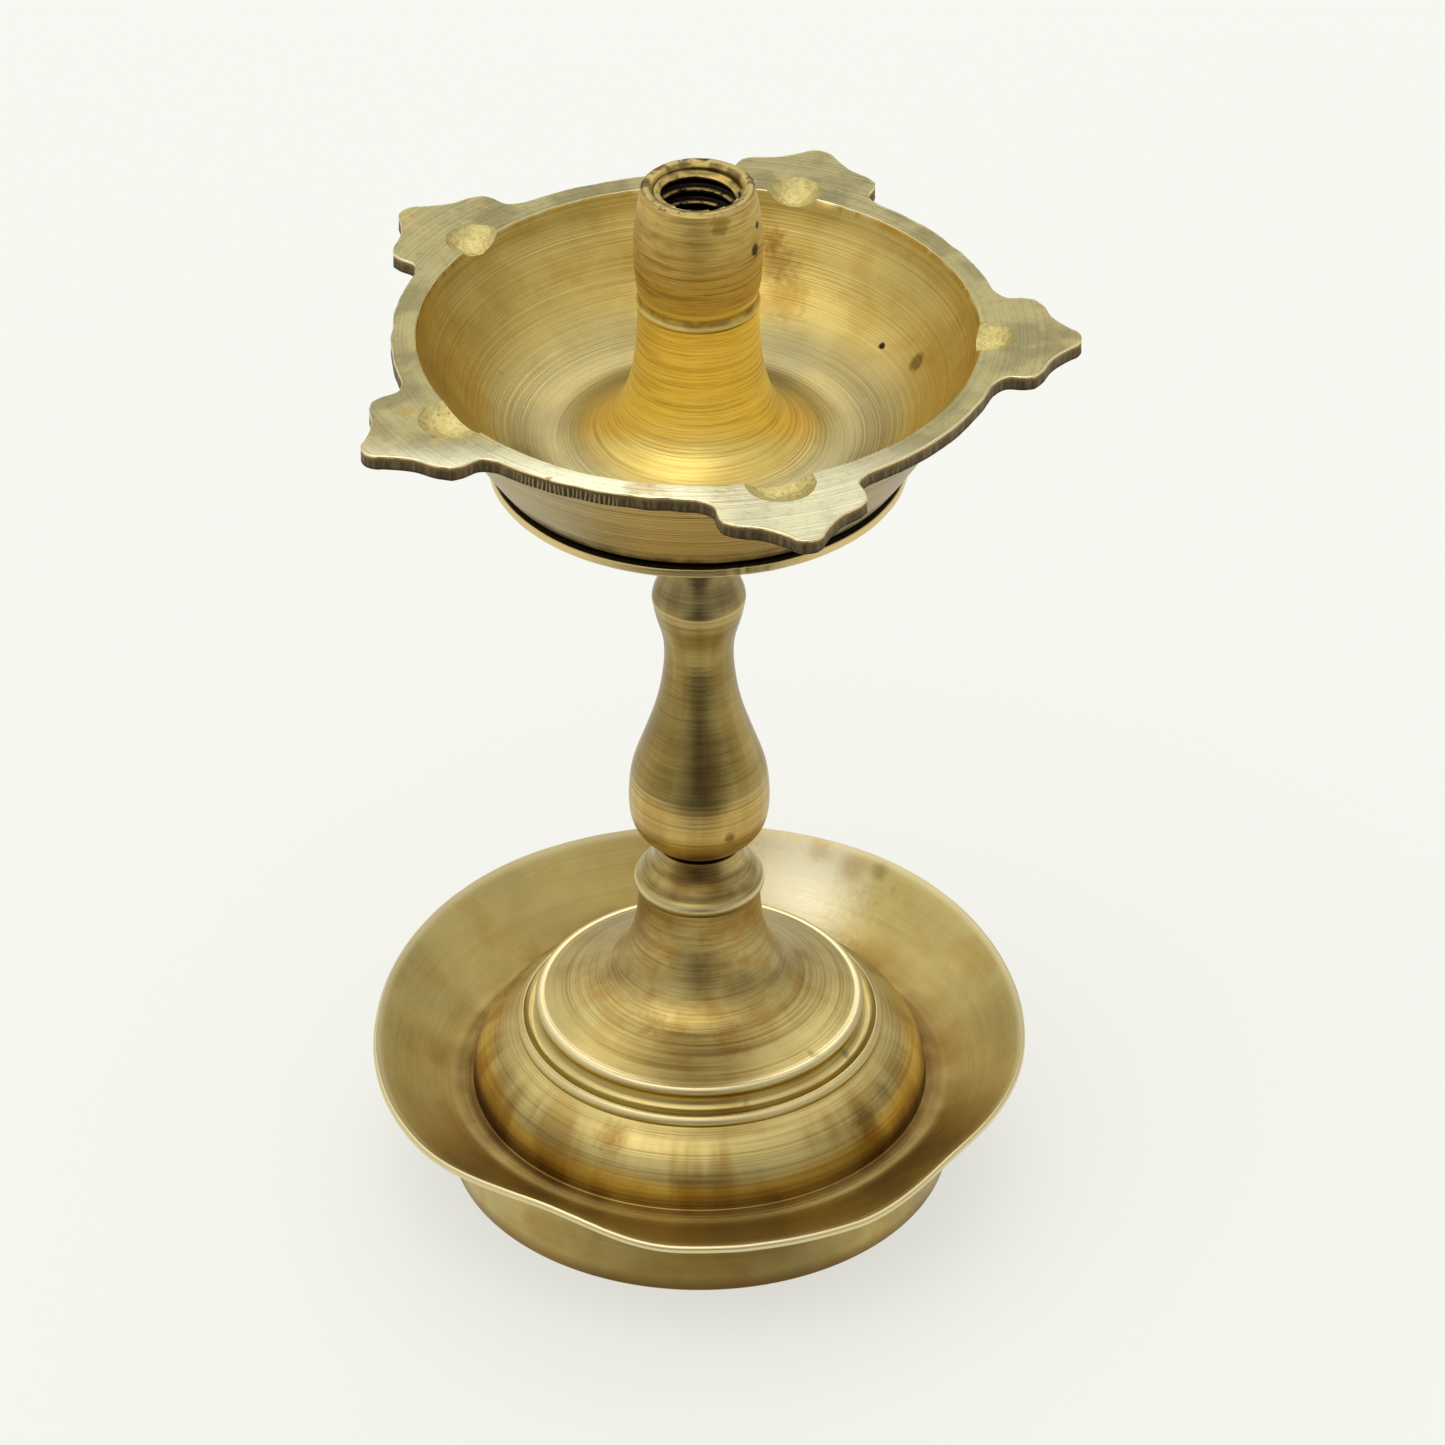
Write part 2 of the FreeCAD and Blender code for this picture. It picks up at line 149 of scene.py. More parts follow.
def outline(start, *steps):
    """Joins pieces of outline. A step is (softness of the corner before it, its points)."""
    out = np.array(start, float)
    for soft, points in steps:
        points = np.array(points, float)
        if points.ndim == 1:
            points = np.array([out[-1], points])
        elif np.linalg.norm(points[0] - out[-1]) > 1e-6:
            points = np.vstack([out[-1:], points])
        if soft:
            corner = out[-1]
            first, second = cut(out[::-1], soft)[::-1], cut(points, soft)
            bend = [(1 - t) ** 2 * first[-1] + 2 * t * (1 - t) * corner + t * t * second[0]
                    for t in (0.2, 0.4, 0.6, 0.8)]
            out = np.vstack([first, bend, second])
        else:
            out = np.vstack([out, points[1:]])
    return out


def wobble(x, y, z, scale, seed):
    """Smooth noise from -1 to 1."""
    return noise.noise(Vector((x * scale + seed, y * scale - seed, z * scale + 2 * seed)))


def round_wobble(angle, radius, z, scale, seed):
    return wobble(math.cos(angle) * radius, math.sin(angle) * radius, z, scale, seed)


def add_object(name, data):
    thing = bpy.data.objects.new(name, data)
    bpy.context.scene.collection.objects.link(thing)
    return thing


# Meshes from rings

def spin(profile, angles):
    """Rings (row, column, xyz) of a turned profile."""
    p = np.asarray(profile, float)
    c, s = np.cos(angles), np.sin(angles)
    return np.stack([p[:, :1] * c, p[:, :1] * s, p[:, 1:] * np.ones_like(c)], axis=2)


class Skin:
    """A closed surface put together ring by ring."""

    def __init__(self):
        self.verts, self.faces, self.last = [], [], None

    def add(self, rows):
        flat = rows.reshape(-1, 3)
        first = len(self.verts)
        self.verts.extend(map(tuple, flat))
        return first + np.arange(len(flat)).reshape(rows.shape[:2])

    def quads(self, ids):
        nxt = np.roll(ids, -1, axis=1)
        self.faces += [tuple(map(int, f)) for f in np.stack(
            [ids[:-1], nxt[:-1], nxt[1:], ids[1:]], axis=2).reshape(-1, 4)]

    def rings(self, rows):
        ids = self.add(rows)
        self.quads(ids)
        if self.last is not None:
            self.zip(self.last, ids[0])
        self.last = ids[-1]

    def zip(self, a, b):
        """Joins two rings whose columns differ, by angle."""
        if len(a) == len(b):
            self.quads(np.array([a, b]))
            return
        ang = lambda ids: np.unwrap([math.atan2(self.verts[i][1], self.verts[i][0]) for i in ids])
        ta = ang(a)
        b = np.roll(b, -int(np.argmin(np.abs((ang(b) - ta[0] + math.pi) % math.tau - math.pi))))
        tb = ang(b)
        tb = tb - math.tau * round((tb[0] - ta[0]) / math.tau)
        ta, tb = np.append(ta, ta[0] + math.tau), np.append(tb, tb[0] + math.tau)
        i = j = 0
        na, nb = len(a), len(b)
        while i < na or j < nb:
            if j == nb or (i < na and ta[i + 1] <= tb[j + 1]):
                self.faces.append((int(a[i % na]), int(a[(i + 1) % na]), int(b[j % nb])))
                i += 1
            else:
                self.faces.append((int(a[i % na]), int(b[(j + 1) % nb]), int(b[j % nb])))
                j += 1

    def cap(self, height, ids):
        centre = len(self.verts)
        self.verts.append((0.0, 0.0, height))
        n = len(ids)
        self.faces += [(centre, int(ids[k]), int(ids[(k + 1) % n])) for k in range(n)]

    def object(self, name):
        mesh = bpy.data.meshes.new(name)
        mesh.from_pydata([(x * MM, y * MM, z * MM) for x, y, z in self.verts], [], self.faces)
        bm = bmesh.new()
        bm.from_mesh(mesh)
        bmesh.ops.remove_doubles(bm, verts=bm.verts, dist=2e-6)
        bmesh.ops.recalc_face_normals(bm, faces=bm.faces)
        loose = sum(not e.is_manifold for e in bm.edges)
        if bm.calc_volume(signed=True) < 0:
            bmesh.ops.reverse_faces(bm, faces=bm.faces)
        print(name, "faces", len(bm.faces), "open edges", loose, "volume", round(bm.calc_volume() * 1e9, 1))
        bm.to_mesh(mesh)
        bm.free()
        finish_mesh(mesh)
        return add_object(name, mesh)


def finish_mesh(mesh):
    mesh.shade_smooth()
    mesh.set_sharp_from_angle(angle=math.radians(34.0))
    mesh.update()


def circle(count):
    return np.arange(count) * math.tau / count


# Base: collar, dome with two beads, drip tray with a hand-bent rim, hollow foot

def wave_at(azimuth):
    turn = (azimuth - WAVE[0][0]) % 360 + WAVE[0][0]
    for (start, low), (end, high) in zip(WAVE, WAVE[1:]):
        if start <= turn <= end:
            return low + (high - low) * (1 - math.cos(math.pi * (turn - start) / (end - start))) / 2
    return WAVE[-1][1]


def tray_rows(angles, shares, down, out):
    """Rings from the tray's root to its rim, set down and out from its upper face."""
    wave = TRAY_SWING * np.array([wave_at(math.degrees(a)) for a in angles])
    rim = TRAY_RIM + wave
    reach = TRAY_REACH - 0.3 * np.minimum(wave, 0)
    root_r, root_z = FOOT - TRAY_WALL, TRAY_FLOOR - TRAY_WALL / 10
    rows = []
    for share in shares:
        r = root_r + (reach - root_r) * share + out
        z = root_z + (rim - root_z) * share ** 1.4 - down
        rows.append(np.stack([r * np.cos(angles), r * np.sin(angles), z], axis=1))
    return np.array(rows)


def base_object():
    side_shares = ((0.985, 0.20), (0.88, 0.43), (0.665, 0.66), (0.38, 0.85), (0.13, 0.955))
    collar_top, collar_over = (6.2, BASE_TOP), (NECK, 49.3)
    lower_start, lower_end = (26.8, 22.4), (26.0, 24.0)
    upper_start, upper_end = (24.1, 26.1), (22.9, 27.3)
    shoulder, neck, side_foot = (14.2, 31.6), (NECK, 44.4), (33.4, TRAY_FLOOR)
    collar = between(collar_top, collar_over, ((0.13, 0.30), (0.36, 0.58), (0.72, 0.78)))
    flare = between(shoulder, neck, ((0.36, 0.14), (0.64, 0.34), (0.88, 0.64)))[::-1]
    top = between(upper_end, shoulder, ((0.30, 0.26), (0.66, 0.60)))[::-1]
    side = between(lower_start, side_foot, [(a, 1 - b) for a, b in side_shares])[::-1]
    angles = circle(BASE_COLUMNS)
    upper = outline(
        [(BORE, BASE_TOP - BORE_DEPTH), (BORE, BASE_TOP - FUNNEL)],
        (0, (BORE + FUNNEL, BASE_TOP)),
        (0.08, collar_top),
        (0.12, natural([collar_top, *collar, collar_over], 0.35)),
        (0.10, arc3(collar_over, (9.5, 48.1), (NECK, 46.9), 8)),
        (0.10, neck),
        (0, natural([neck, *flare, shoulder, *top, upper_end], 0.7)),
        (0.10, arc3(upper_end, (23.9, 27.1), upper_start, 7)),
        (0.12, arc3(upper_start, (25.8, 23.8), lower_end, 7)),
        (0.12, arc3(lower_end, (26.8, 23.4), lower_start, 7)),
        (0.10, natural([lower_start, *side, side_foot], 0.7)),
        (0.25, [side_foot, (34.2, TRAY_FLOOR), (35.0, TRAY_FLOOR), (35.8, TRAY_FLOOR)]),
    )
    skin = Skin()
    skin.rings(spin(upper, angles))
    skin.cap(BASE_TOP - BORE_DEPTH, np.arange(BASE_COLUMNS))
    inner = np.linspace(0.055, 1.0, 17)
    skin.rings(tray_rows(angles, inner[:-1], 0, 0))
    edge = ((0.02, 0.06), (0.06, 0.16), (0.15, 0.27), (0.32, 0.36), (0.5, 0.38), (0.68, 0.36), (0.81, 0.27),
            (0.94, 0.13))
    rim = np.array([tray_rows(angles, [1.0], TRAY_WALL * down, TRAY_WALL * out)[0] for down, out in edge])
    for row in rim:
        for j, a in enumerate(angles):
            row[j, 2] -= 0.10 * max(0, round_wobble(a, 48, 0, 0.35, 3))
    skin.rings(rim)
    skin.rings(tray_rows(angles, np.linspace(1.0, 0.112, 13), TRAY_WALL, 0))
    waist, hollow = (24.3, 20.7), (30.9, HOLLOW_EDGE)
    skin.rings(spin(outline(
        [(FOOT, 11.2), (FOOT, 8.0), (FOOT, 4.0)],
        (0, (FOOT, 0.5)), (0.15, (FOOT - 0.5, 0)), (0.15, (FOOT_IN + 0.5, 0)), (0.15, (FOOT_IN, 0.5)),
        (0, (FOOT_IN, HOLLOW_EDGE)), (0.3, hollow),
    ), angles))
    hollow_side = between(waist, hollow, [(a, 1 - b) for a, b in side_shares])
    skin.rings(spin(np.vstack([
        natural([hollow, *hollow_side[:-1], waist], 1.5)[1:],
        natural([waist, (18.7, 24.4), (11.7, HOLLOW_TOP)], 1.5)[1:], [(6.0, HOLLOW_TOP)]]), angles))
    skin.cap(HOLLOW_TOP, skin.last)
    return skin.object("base_casting")


# Stem: baluster, sharp knob, neck and flared seat

def stem_object():
    def at(share, radius):
        return (radius, STEM_SEAT + STEM_LENGTH * share)

    shares = (
        (0.000, 0.54), (0.015, 0.66), (0.034, 0.80), (0.060, 0.92), (0.094, 0.984),
        (0.131, 1.00), (0.166, 0.992), (0.215, 0.950), (0.266, 0.852), (0.333, 0.708),
        (0.398, 0.590), (0.465, 0.517), (0.532, 0.488), (0.581, 0.520), (0.631, 0.604),
    )
    knob, top = at(0.679, KNOB), STEM_SEAT + STEM_LENGTH
    knob_top = [at(up, KNOB * s) for up, s in ((0.696, 0.975), (0.712, 0.925), (0.742, 0.800))]
    flare = [at(up, NECK * s) for up, s in ((0.850, 0.58), (0.905, 0.71), (0.950, 0.87))]
    body = outline(
        [(BORE, STEM_SEAT + BORE_DEPTH), (BORE, STEM_SEAT + FUNNEL)],
        (0, (BORE + FUNNEL, STEM_SEAT)),
        (0.1, (BELLY * 0.54, STEM_SEAT)),
        (0.1, natural([at(up, BELLY * s) for up, s in shares] + [knob], 0.6)),
        (0.22, natural([knob, *knob_top, at(0.785, 4.9), *flare, (NECK, top - 1.5)], 0.6)),
        (0.25, (NECK, top)),
        (0.2, (BORE + FUNNEL, top)),
        (0, (BORE, top - FUNNEL)),
        (0, (BORE, top - BORE_DEPTH)),
    )
    skin = Skin()
    ids = skin.add(spin(body, circle(STEM_COLUMNS)))
    skin.quads(ids)
    skin.cap(STEM_SEAT + BORE_DEPTH, ids[0])
    skin.cap(top - BORE_DEPTH, ids[-1])
    return skin.object("stem_turning")


# Dish: bowl, lip, flat rim with five filed spouts, column with a threaded socket

def spout_edge(reach):
    """The edge of one spout as (x, y) points, clockwise side first."""
    def at(share, across, side):
        past = SPOUT_REACH * share * (reach if share > 0 else 1)
        return (RIM_OUT + past, side * across * SPOUT_HALF)

    root = ((-0.14, 1.12), (0.03, 0.945), (0.20, 0.955), (0.375, 0.925))
    waist = ((0.375, 0.925), (0.49, 0.78), (0.58, 0.56), (0.71, 0.373), (0.87, 0.215))
    half = outline(
        natural([at(*s, 1) for s in root], 0.35), (0.35, natural([at(*s, 1) for s in waist], 0.4)))
    tip = arc3(at(0.87, 0.215, 1), at(1, 0, 1), at(0.87, 0.215, -1), 12)
    upper = outline(half, (0.3, tip[:7]))
    lower = upper[::-1] * (1, -1)
    return np.vstack([lower, upper[::-1]])


def degrees_off(angle, place):
    return (math.degrees(angle) - place + 180) % 360 - 180


def rim_edge():
    """The rim's outer edge all the way round: points and outward normals, by rising angle."""
    pieces = []
    for turn, reach in zip(SPOUT_TURNS, SPOUT_REACHES):
        half = spout_edge(reach)
        angle = np.arctan2(half[:, 1], half[:, 0])
        order = np.argsort(angle, kind="stable")
        half, angle = half[order], angle[order]
        keep = np.concatenate([[True], np.diff(angle) > 1e-4])
        half, angle = half[keep], angle[keep]
        radius = np.maximum(np.hypot(half[:, 0], half[:, 1]), RIM_OUT)
        pieces.append(np.stack([angle + math.radians(turn), radius], axis=1))
    out = []
    for k, piece in enumerate(pieces):
        out.append(piece)
        nxt = pieces[(k + 1) % 5][0, 0] + (math.tau if k == 4 else 0)
        gap = np.linspace(piece[-1, 0], nxt, 32)[1:-1]
        out.append(np.stack([gap, np.full_like(gap, RIM_OUT)], axis=1))
    polar = np.vstack(out)
    angle, radius = polar[:, 0], polar[:, 1].copy()
    # The file left the edge a little uneven, always inwards of the CAD's edge.
    # Its nicks: place and width in degrees, depth.
    nicks = ((-112.0, 2.2, 0.22), (-103.0, 2.6, 0.20), (-95.5, 1.6, 0.28), (-135.0, 2.0, 0.18),
             (33.0, 2.5, 0.22), (110.0, 3.0, 0.2), (178.0, 2.4, 0.2))
    for i, a in enumerate(angle):
        dent = 0.10 + 0.10 * round_wobble(a, 43, 0, 0.30, 1) + 0.05 * round_wobble(a, 43, 0, 1.3, 5)
        for place, width, depth in nicks:
            off = degrees_off(a, place) / width
            dent += depth * math.exp(-off * off)
        radius[i] -= max(0.0, dent)
    points = np.stack([radius * np.cos(angle), radius * np.sin(angle)], axis=1)
    run = np.roll(points, -1, axis=0) - np.roll(points, 1, axis=0)
    run /= np.linalg.norm(run, axis=1)[:, None]
    return angle, points, np.stack([run[:, 1], -run[:, 0]], axis=1)


def rim_rows(angle, points, normals):
    """Rings from the bowl's outside, round the rim's edge, to the bowl's mouth."""
    rows = []

    def ring(xy, z):
        rows.append(np.column_stack([xy, np.full(len(xy), z)]))

    unit = np.stack([np.cos(angle), np.sin(angle)], axis=1)
    wear = np.array([0.24 + 0.10 * wobble(p[0], p[1], 0, 0.5, 9) for p in points])
    bevel = 0.2
    low_in = unit * (RIM_IN + 0.567)
    low_out = points - normals * bevel
    for t in (0.0, 0.5, 1.0):
        ring(low_in + (low_out - low_in) * t, RIM_UNDER)
    for f in (22.5, 45, 67.5):
        f = math.radians(f)
        back = normals * bevel * (1 - math.sin(f))
        ring(points - back, RIM_UNDER + bevel * (1 - math.cos(f)))
    for t in (0.1, 0.3, 0.5, 0.7, 0.88):
        z = RIM_UNDER + bevel + (RIM_TOP - RIM_UNDER - 0.5) * t
        shave = np.array([0.05 + 0.05 * wobble(p[0], p[1], z, 1.6, 21) for p in points])
        ring(points - normals * shave[:, None], z)
    for f in (15, 40, 65, 90):
        f = math.radians(f)
        back = wear * (1 - math.cos(f))
        ring(points - normals * back[:, None], RIM_TOP - wear * (1 - math.sin(f)))
    flat_out = points - normals * (wear * 1.15)[:, None]
    mouth = np.array([RIM_IN + 0.10 + 0.06 * round_wobble(a, 39, 0, 0.3, 31) for a in angle])
    flat_in = unit * mouth[:, None]
    for t in (0.0, 0.012, 0.03, 0.2, 0.4, 0.6, 0.8, 0.97, 1.0):
        xy = flat_out + (flat_in - flat_out) * t
        dip = np.array([0.02 + 0.02 * wobble(p[0], p[1], 0, 0.22, 41) for p in xy])
        ring(xy, RIM_TOP - dip)
    for f in (35, 70):
        f = math.radians(f)
        xy = unit * (mouth - 0.10 * math.sin(f))[:, None]
        ring(xy, RIM_TOP - 0.04 - 0.12 * (1 - math.cos(f)))
    return np.array(rows)


def thread_rows():
    """Rings that run along the helix, clamped to the thread's two ends."""
    dz = THREAD_PITCH / THREAD_STEPS
    count = int(math.ceil((THREAD_HIGH - THREAD_LOW) / dz))
    rows = []
    for i in range(-THREAD_STEPS, count + 1):
        row = []
        for j in range(DISH_COLUMNS):
            turn = j / DISH_COLUMNS
            z = THREAD_LOW + i * dz + THREAD_PITCH * turn
            # off is the distance from the crest's middle, as a share of the pitch.
            phase = (z - THREAD_LOW) / THREAD_PITCH - turn + 0.5
            off = abs(phase - math.floor(phase) - 0.5)
            slope = min(1.0, max(0.0, (off - 0.07) / 0.24))
            r = THREAD_CREST + (THREAD_ROOT - THREAD_CREST) * slope
            a = turn * math.tau
            if z <= THREAD_LOW or z >= THREAD_HIGH:
                r, z = THREAD_ROOT, min(max(z, THREAD_LOW), THREAD_HIGH)
            else:
                r += (1 - slope) * 0.16 * (0.5 + 0.5 * round_wobble(a, 6, z, 0.8, 51))
            row.append((r * math.cos(a), r * math.sin(a), z))
        rows.append(row)
    return np.array(rows)


def dish_object():
    def up(rows):
        return rows + np.array([0, 0, DISH_SEAT])

    coarse = circle(DISH_COLUMNS)
    angle, points, normals = rim_edge()
    skin = Skin()
    under = outline(
        [(BORE, BORE_DEPTH), (BORE, FUNNEL)],
        (0, (BORE + FUNNEL, 0)), (0.1, (SEAT_OUT, 0)), (0.15, (SEAT_OUT, SHELF)), (0.1, (18, SHELF)),
        (0, (27.5, SHELF)), (0.1, (27.5, LIP_LOW)), (0.12, (28.2, LIP_LOW)),
    )
    skin.rings(up(spin(under, coarse)))
    skin.cap(DISH_SEAT + BORE_DEPTH, np.arange(DISH_COLUMNS))
    wall_foot, rim_under = (29.4, 4.6), (39.967, RIM_UNDER)
    wall = between(wall_foot, rim_under, ((0.21, 0.19), (0.46, 0.44), (0.715, 0.70), (0.915, 0.91)))
    lip = outline(
        [(28.6, LIP_LOW), (LIP_OUT, LIP_LOW)], (0.22, (LIP_OUT, LIP_TOP)), (0.25, (27.9, LIP_TOP)),
        (0.25, (27.9, 4.6)), (0.2, wall_foot), (0.18, natural([wall_foot, *wall, rim_under], 2.0)),
    )
    rows = spin(lip, angle)
    # The thin lip was knocked about, so its edge runs unevenly.
    for i, (r, z) in enumerate(lip):
        if r > 28.7 and z < 3.8:
            for j, a in enumerate(angle):
                front = math.exp(-(degrees_off(a, -80) / 9) ** 2)
                dent = 0.05 + 0.05 * round_wobble(a, 30, 0, 0.25, 61)
                dent += front * (0.10 + 0.12 * round_wobble(a, 30, 0, 0.9, 65))
                rows[i, j, :2] *= 1 - max(0.0, dent) / LIP_OUT
    skin.rings(up(rows[:-1]))
    skin.rings(up(rim_rows(angle, points, normals)))
    inside = ((0.26, 0.09), (0.485, 0.23), (0.665, 0.43), (0.825, 0.665), (0.945, 0.865))
    root = ((0.335, 0.04), (0.575, 0.12), (0.75, 0.225), (0.845, 0.335), (0.912, 0.46), (0.956, 0.60))
    floor, mouth, shaft, ring = (21.0, 6.7), (RIM_IN, RIM_TOP), (8.45, 28.7), (8.75, 29.3)
    wall, foot = between(floor, mouth, inside)[::-1], between(floor, shaft, root)
    bowl = natural([mouth, *wall, floor, *foot, shaft], 1.2)
    bowl[0] = (RIM_IN, RIM_TOP - 0.16)
    split = int(np.argmax(bowl[:, 0] < 25.0))
    skin.rings(up(spin(bowl[:split], angle)))
    barrel_foot, barrel_top = (8.5, 31.4875), (8.0, 47.2)
    rise = barrel_top[1] - barrel_foot[1]
    bulge = [(barrel_foot[0] - 0.5 * s + 0.55 * 4 / 3 * b, barrel_foot[1] + rise * s) for s, b in (
        (0.20, 0.70), (0.42, 1.00), (0.72, 0.78))]
    cove = ((ring[0] + barrel_foot[0]) / 2 - 0.3, (ring[1] + barrel_foot[1]) / 2)
    bevel = [(7.6, 47.6), (7.0, 47.58), (6.55, 47.42), (6.24, 47.14), (THREAD_ROOT, THREAD_HIGH)]
    column = outline(
        bowl[split:],
        (0.12, ring),
        (0.14, natural([ring, cove, barrel_foot, *bulge, barrel_top], 0.7)),
        (0.16, bevel[0]),
        (0.10, natural(bevel, 0.2)),
    )
    rows = spin(column, coarse)
    for i, (r, z) in enumerate(column):
        if z > 47.3:
            for j, a in enumerate(coarse):
                rows[i, j, 2] -= 0.03 + 0.16 * max(0.0, round_wobble(a, 7, r, 0.55, 71))
    skin.rings(up(rows))
    # The last column of each thread ring meets the first of the ring a turn later.
    ids = skin.add(up(thread_rows()))
    for i in range(len(ids) - 1):
        for j in range(DISH_COLUMNS):
            k, n = (i, j + 1) if j + 1 < DISH_COLUMNS else (i + THREAD_STEPS, 0)
            if k + 1 < len(ids):
                skin.faces.append(tuple(map(int, (ids[i, j], ids[k, n], ids[k + 1, n], ids[i + 1, j]))))
    end = skin.add(up(spin([(THREAD_ROOT, THREAD_LOW), (THREAD_ROOT, SOCKET_STEP),
                            (THREAD_CREST, SOCKET_STEP), (THREAD_CREST, SOCKET_FLOOR)], coarse)))
    skin.quads(end)
    skin.cap(DISH_SEAT + SOCKET_FLOOR, end[-1])
    piece = skin.object("dish_casting")
    cut_scoops(piece)
    return piece


def scoop_balls():
    """The ball that each wick scoop is part of: centre and radius in millimetres."""
    for turn, share in zip(SPOUT_TURNS, SCOOPS):
        ball = ((SCOOP_HALF * share) ** 2 + SCOOP_DEPTH ** 2) / (2 * SCOOP_DEPTH)
        a = math.radians(turn)
        height = DISH_SEAT + RIM_TOP - SCOOP_DEPTH + ball
        yield Vector((math.cos(a) * SCOOP_AT, math.sin(a) * SCOOP_AT, height)), ball


def cut_scoops(piece):
    """Takes the five wick scoops out of the rim, with slightly rough balls."""
    verts, faces = [], []
    lats, lons = 40, 72
    for centre, ball in scoop_balls():
        first = len(verts)
        for i in range(1, lats):
            for j in range(lons):
                la, lo = math.pi * i / lats, math.tau * j / lons
                d = Vector((math.sin(la) * math.cos(lo), math.sin(la) * math.sin(lo), math.cos(la)))
                p = centre + d * ball
                rough = 0.10 * noise.noise(p * 0.9) + 0.05 * noise.noise(p * 2.6)
                verts.append(tuple((centre + d * (ball - 0.06 + rough)) * MM))
        for i in range(lats - 2):
            for j in range(lons):
                k = (j + 1) % lons
                faces.append((first + i * lons + j, first + i * lons + k,
                              first + (i + 1) * lons + k, first + (i + 1) * lons + j))
        faces.append(tuple(first + j for j in range(lons))[::-1])
        faces.append(tuple(first + (lats - 2) * lons + j for j in range(lons)))
    mesh = bpy.data.meshes.new("scoops")
    mesh.from_pydata(verts, [], faces)
    bm = bmesh.new()
    bm.from_mesh(mesh)
    bmesh.ops.recalc_face_normals(bm, faces=bm.faces)
    bm.to_mesh(mesh)
    bm.free()
    cutter = add_object("scoops", mesh)
    mod = piece.modifiers.new("scoops", "BOOLEAN")
    mod.operation, mod.solver, mod.object = "DIFFERENCE", "EXACT", cutter
    deps = bpy.context.evaluated_depsgraph_get()
    cut_mesh = bpy.data.meshes.new_from_object(piece.evaluated_get(deps))
    piece.modifiers.clear()
    old = piece.data
    piece.data = cut_mesh
    bpy.data.meshes.remove(old)
    bpy.data.objects.remove(cutter)
    finish_mesh(cut_mesh)
    print("dish after the scoops", len(cut_mesh.polygons))


# Materials

class Nodes:
    """A short way to write node trees."""

    def __init__(self, tree):
        self.tree = tree

    def put(self, socket, value):
        if isinstance(value, bpy.types.NodeSocket):
            self.tree.links.new(value, socket)
        else:
            socket.default_value = value

    def new(self, kind, *values, **settings):
        """A node with these settings, and these values or links in its first sockets."""
        n = self.tree.nodes.new("ShaderNode" + kind)
        for key, value in settings.items():
            setattr(n, key, value)
        for socket, value in zip(n.inputs, values):
            self.put(socket, value)
        return n

    def math(self, op, a, b=0.0):
        return self.new("Math", a, b, operation=op).outputs[0]

    def chain(self, op, a, *others):
        """The operation on a and the first of the others, then on that and the next, and so on."""
        for b in others:
            a = self.math(op, a, b)
        return a

    def mul(self, *values):
        return self.chain("MULTIPLY", *values)

    def add(self, *values):
        return self.chain("ADD", *values)

    def most(self, *values):
        return self.chain("MAXIMUM", *values)

    def sub(self, a, b):
        return self.math("SUBTRACT", a, b)

    def ramp(self, v, lo, hi, out_lo=0.0, out_hi=1.0):
        """Smooth step of v from lo to hi."""
        return self.new("MapRange", v, lo, hi, out_lo, out_hi, interpolation_type="SMOOTHSTEP").outputs[0]

    def fall(self, v, lo, hi):
        """1 below lo, 0 above hi."""
        return self.ramp(v, lo, hi, 1.0, 0.0)

    def band(self, v, lo, hi, soft):
        """1 between lo and hi, fading out over soft."""
        return self.mul(self.ramp(v, lo - soft, lo + soft), self.fall(v, hi - soft, hi + soft))

    def mix(self, f, a, b, blend="MIX"):
        n = self.new("Mix", f, data_type="RGBA", blend_type=blend)
        for socket, colour in ((n.inputs[6], a), (n.inputs[7], b)):
            self.put(socket, (*colour, 1) if isinstance(colour, tuple) else colour)
        return n.outputs[2]

    def vector(self, x, y, z):
        return self.new("CombineXYZ", x, y, z).outputs[0]

    def noise(self, vec, scale, detail=2.0, rough=0.5, w=None):
        n = self.new("TexNoise", noise_dimensions="3D" if w is None else "4D")
        values = {"Vector": vec, "Scale": scale, "Detail": detail, "Roughness": rough}
        if w is not None:
            values["W"] = w
        for key, value in values.items():
            self.put(n.inputs[key], value)
        return n.outputs[0]


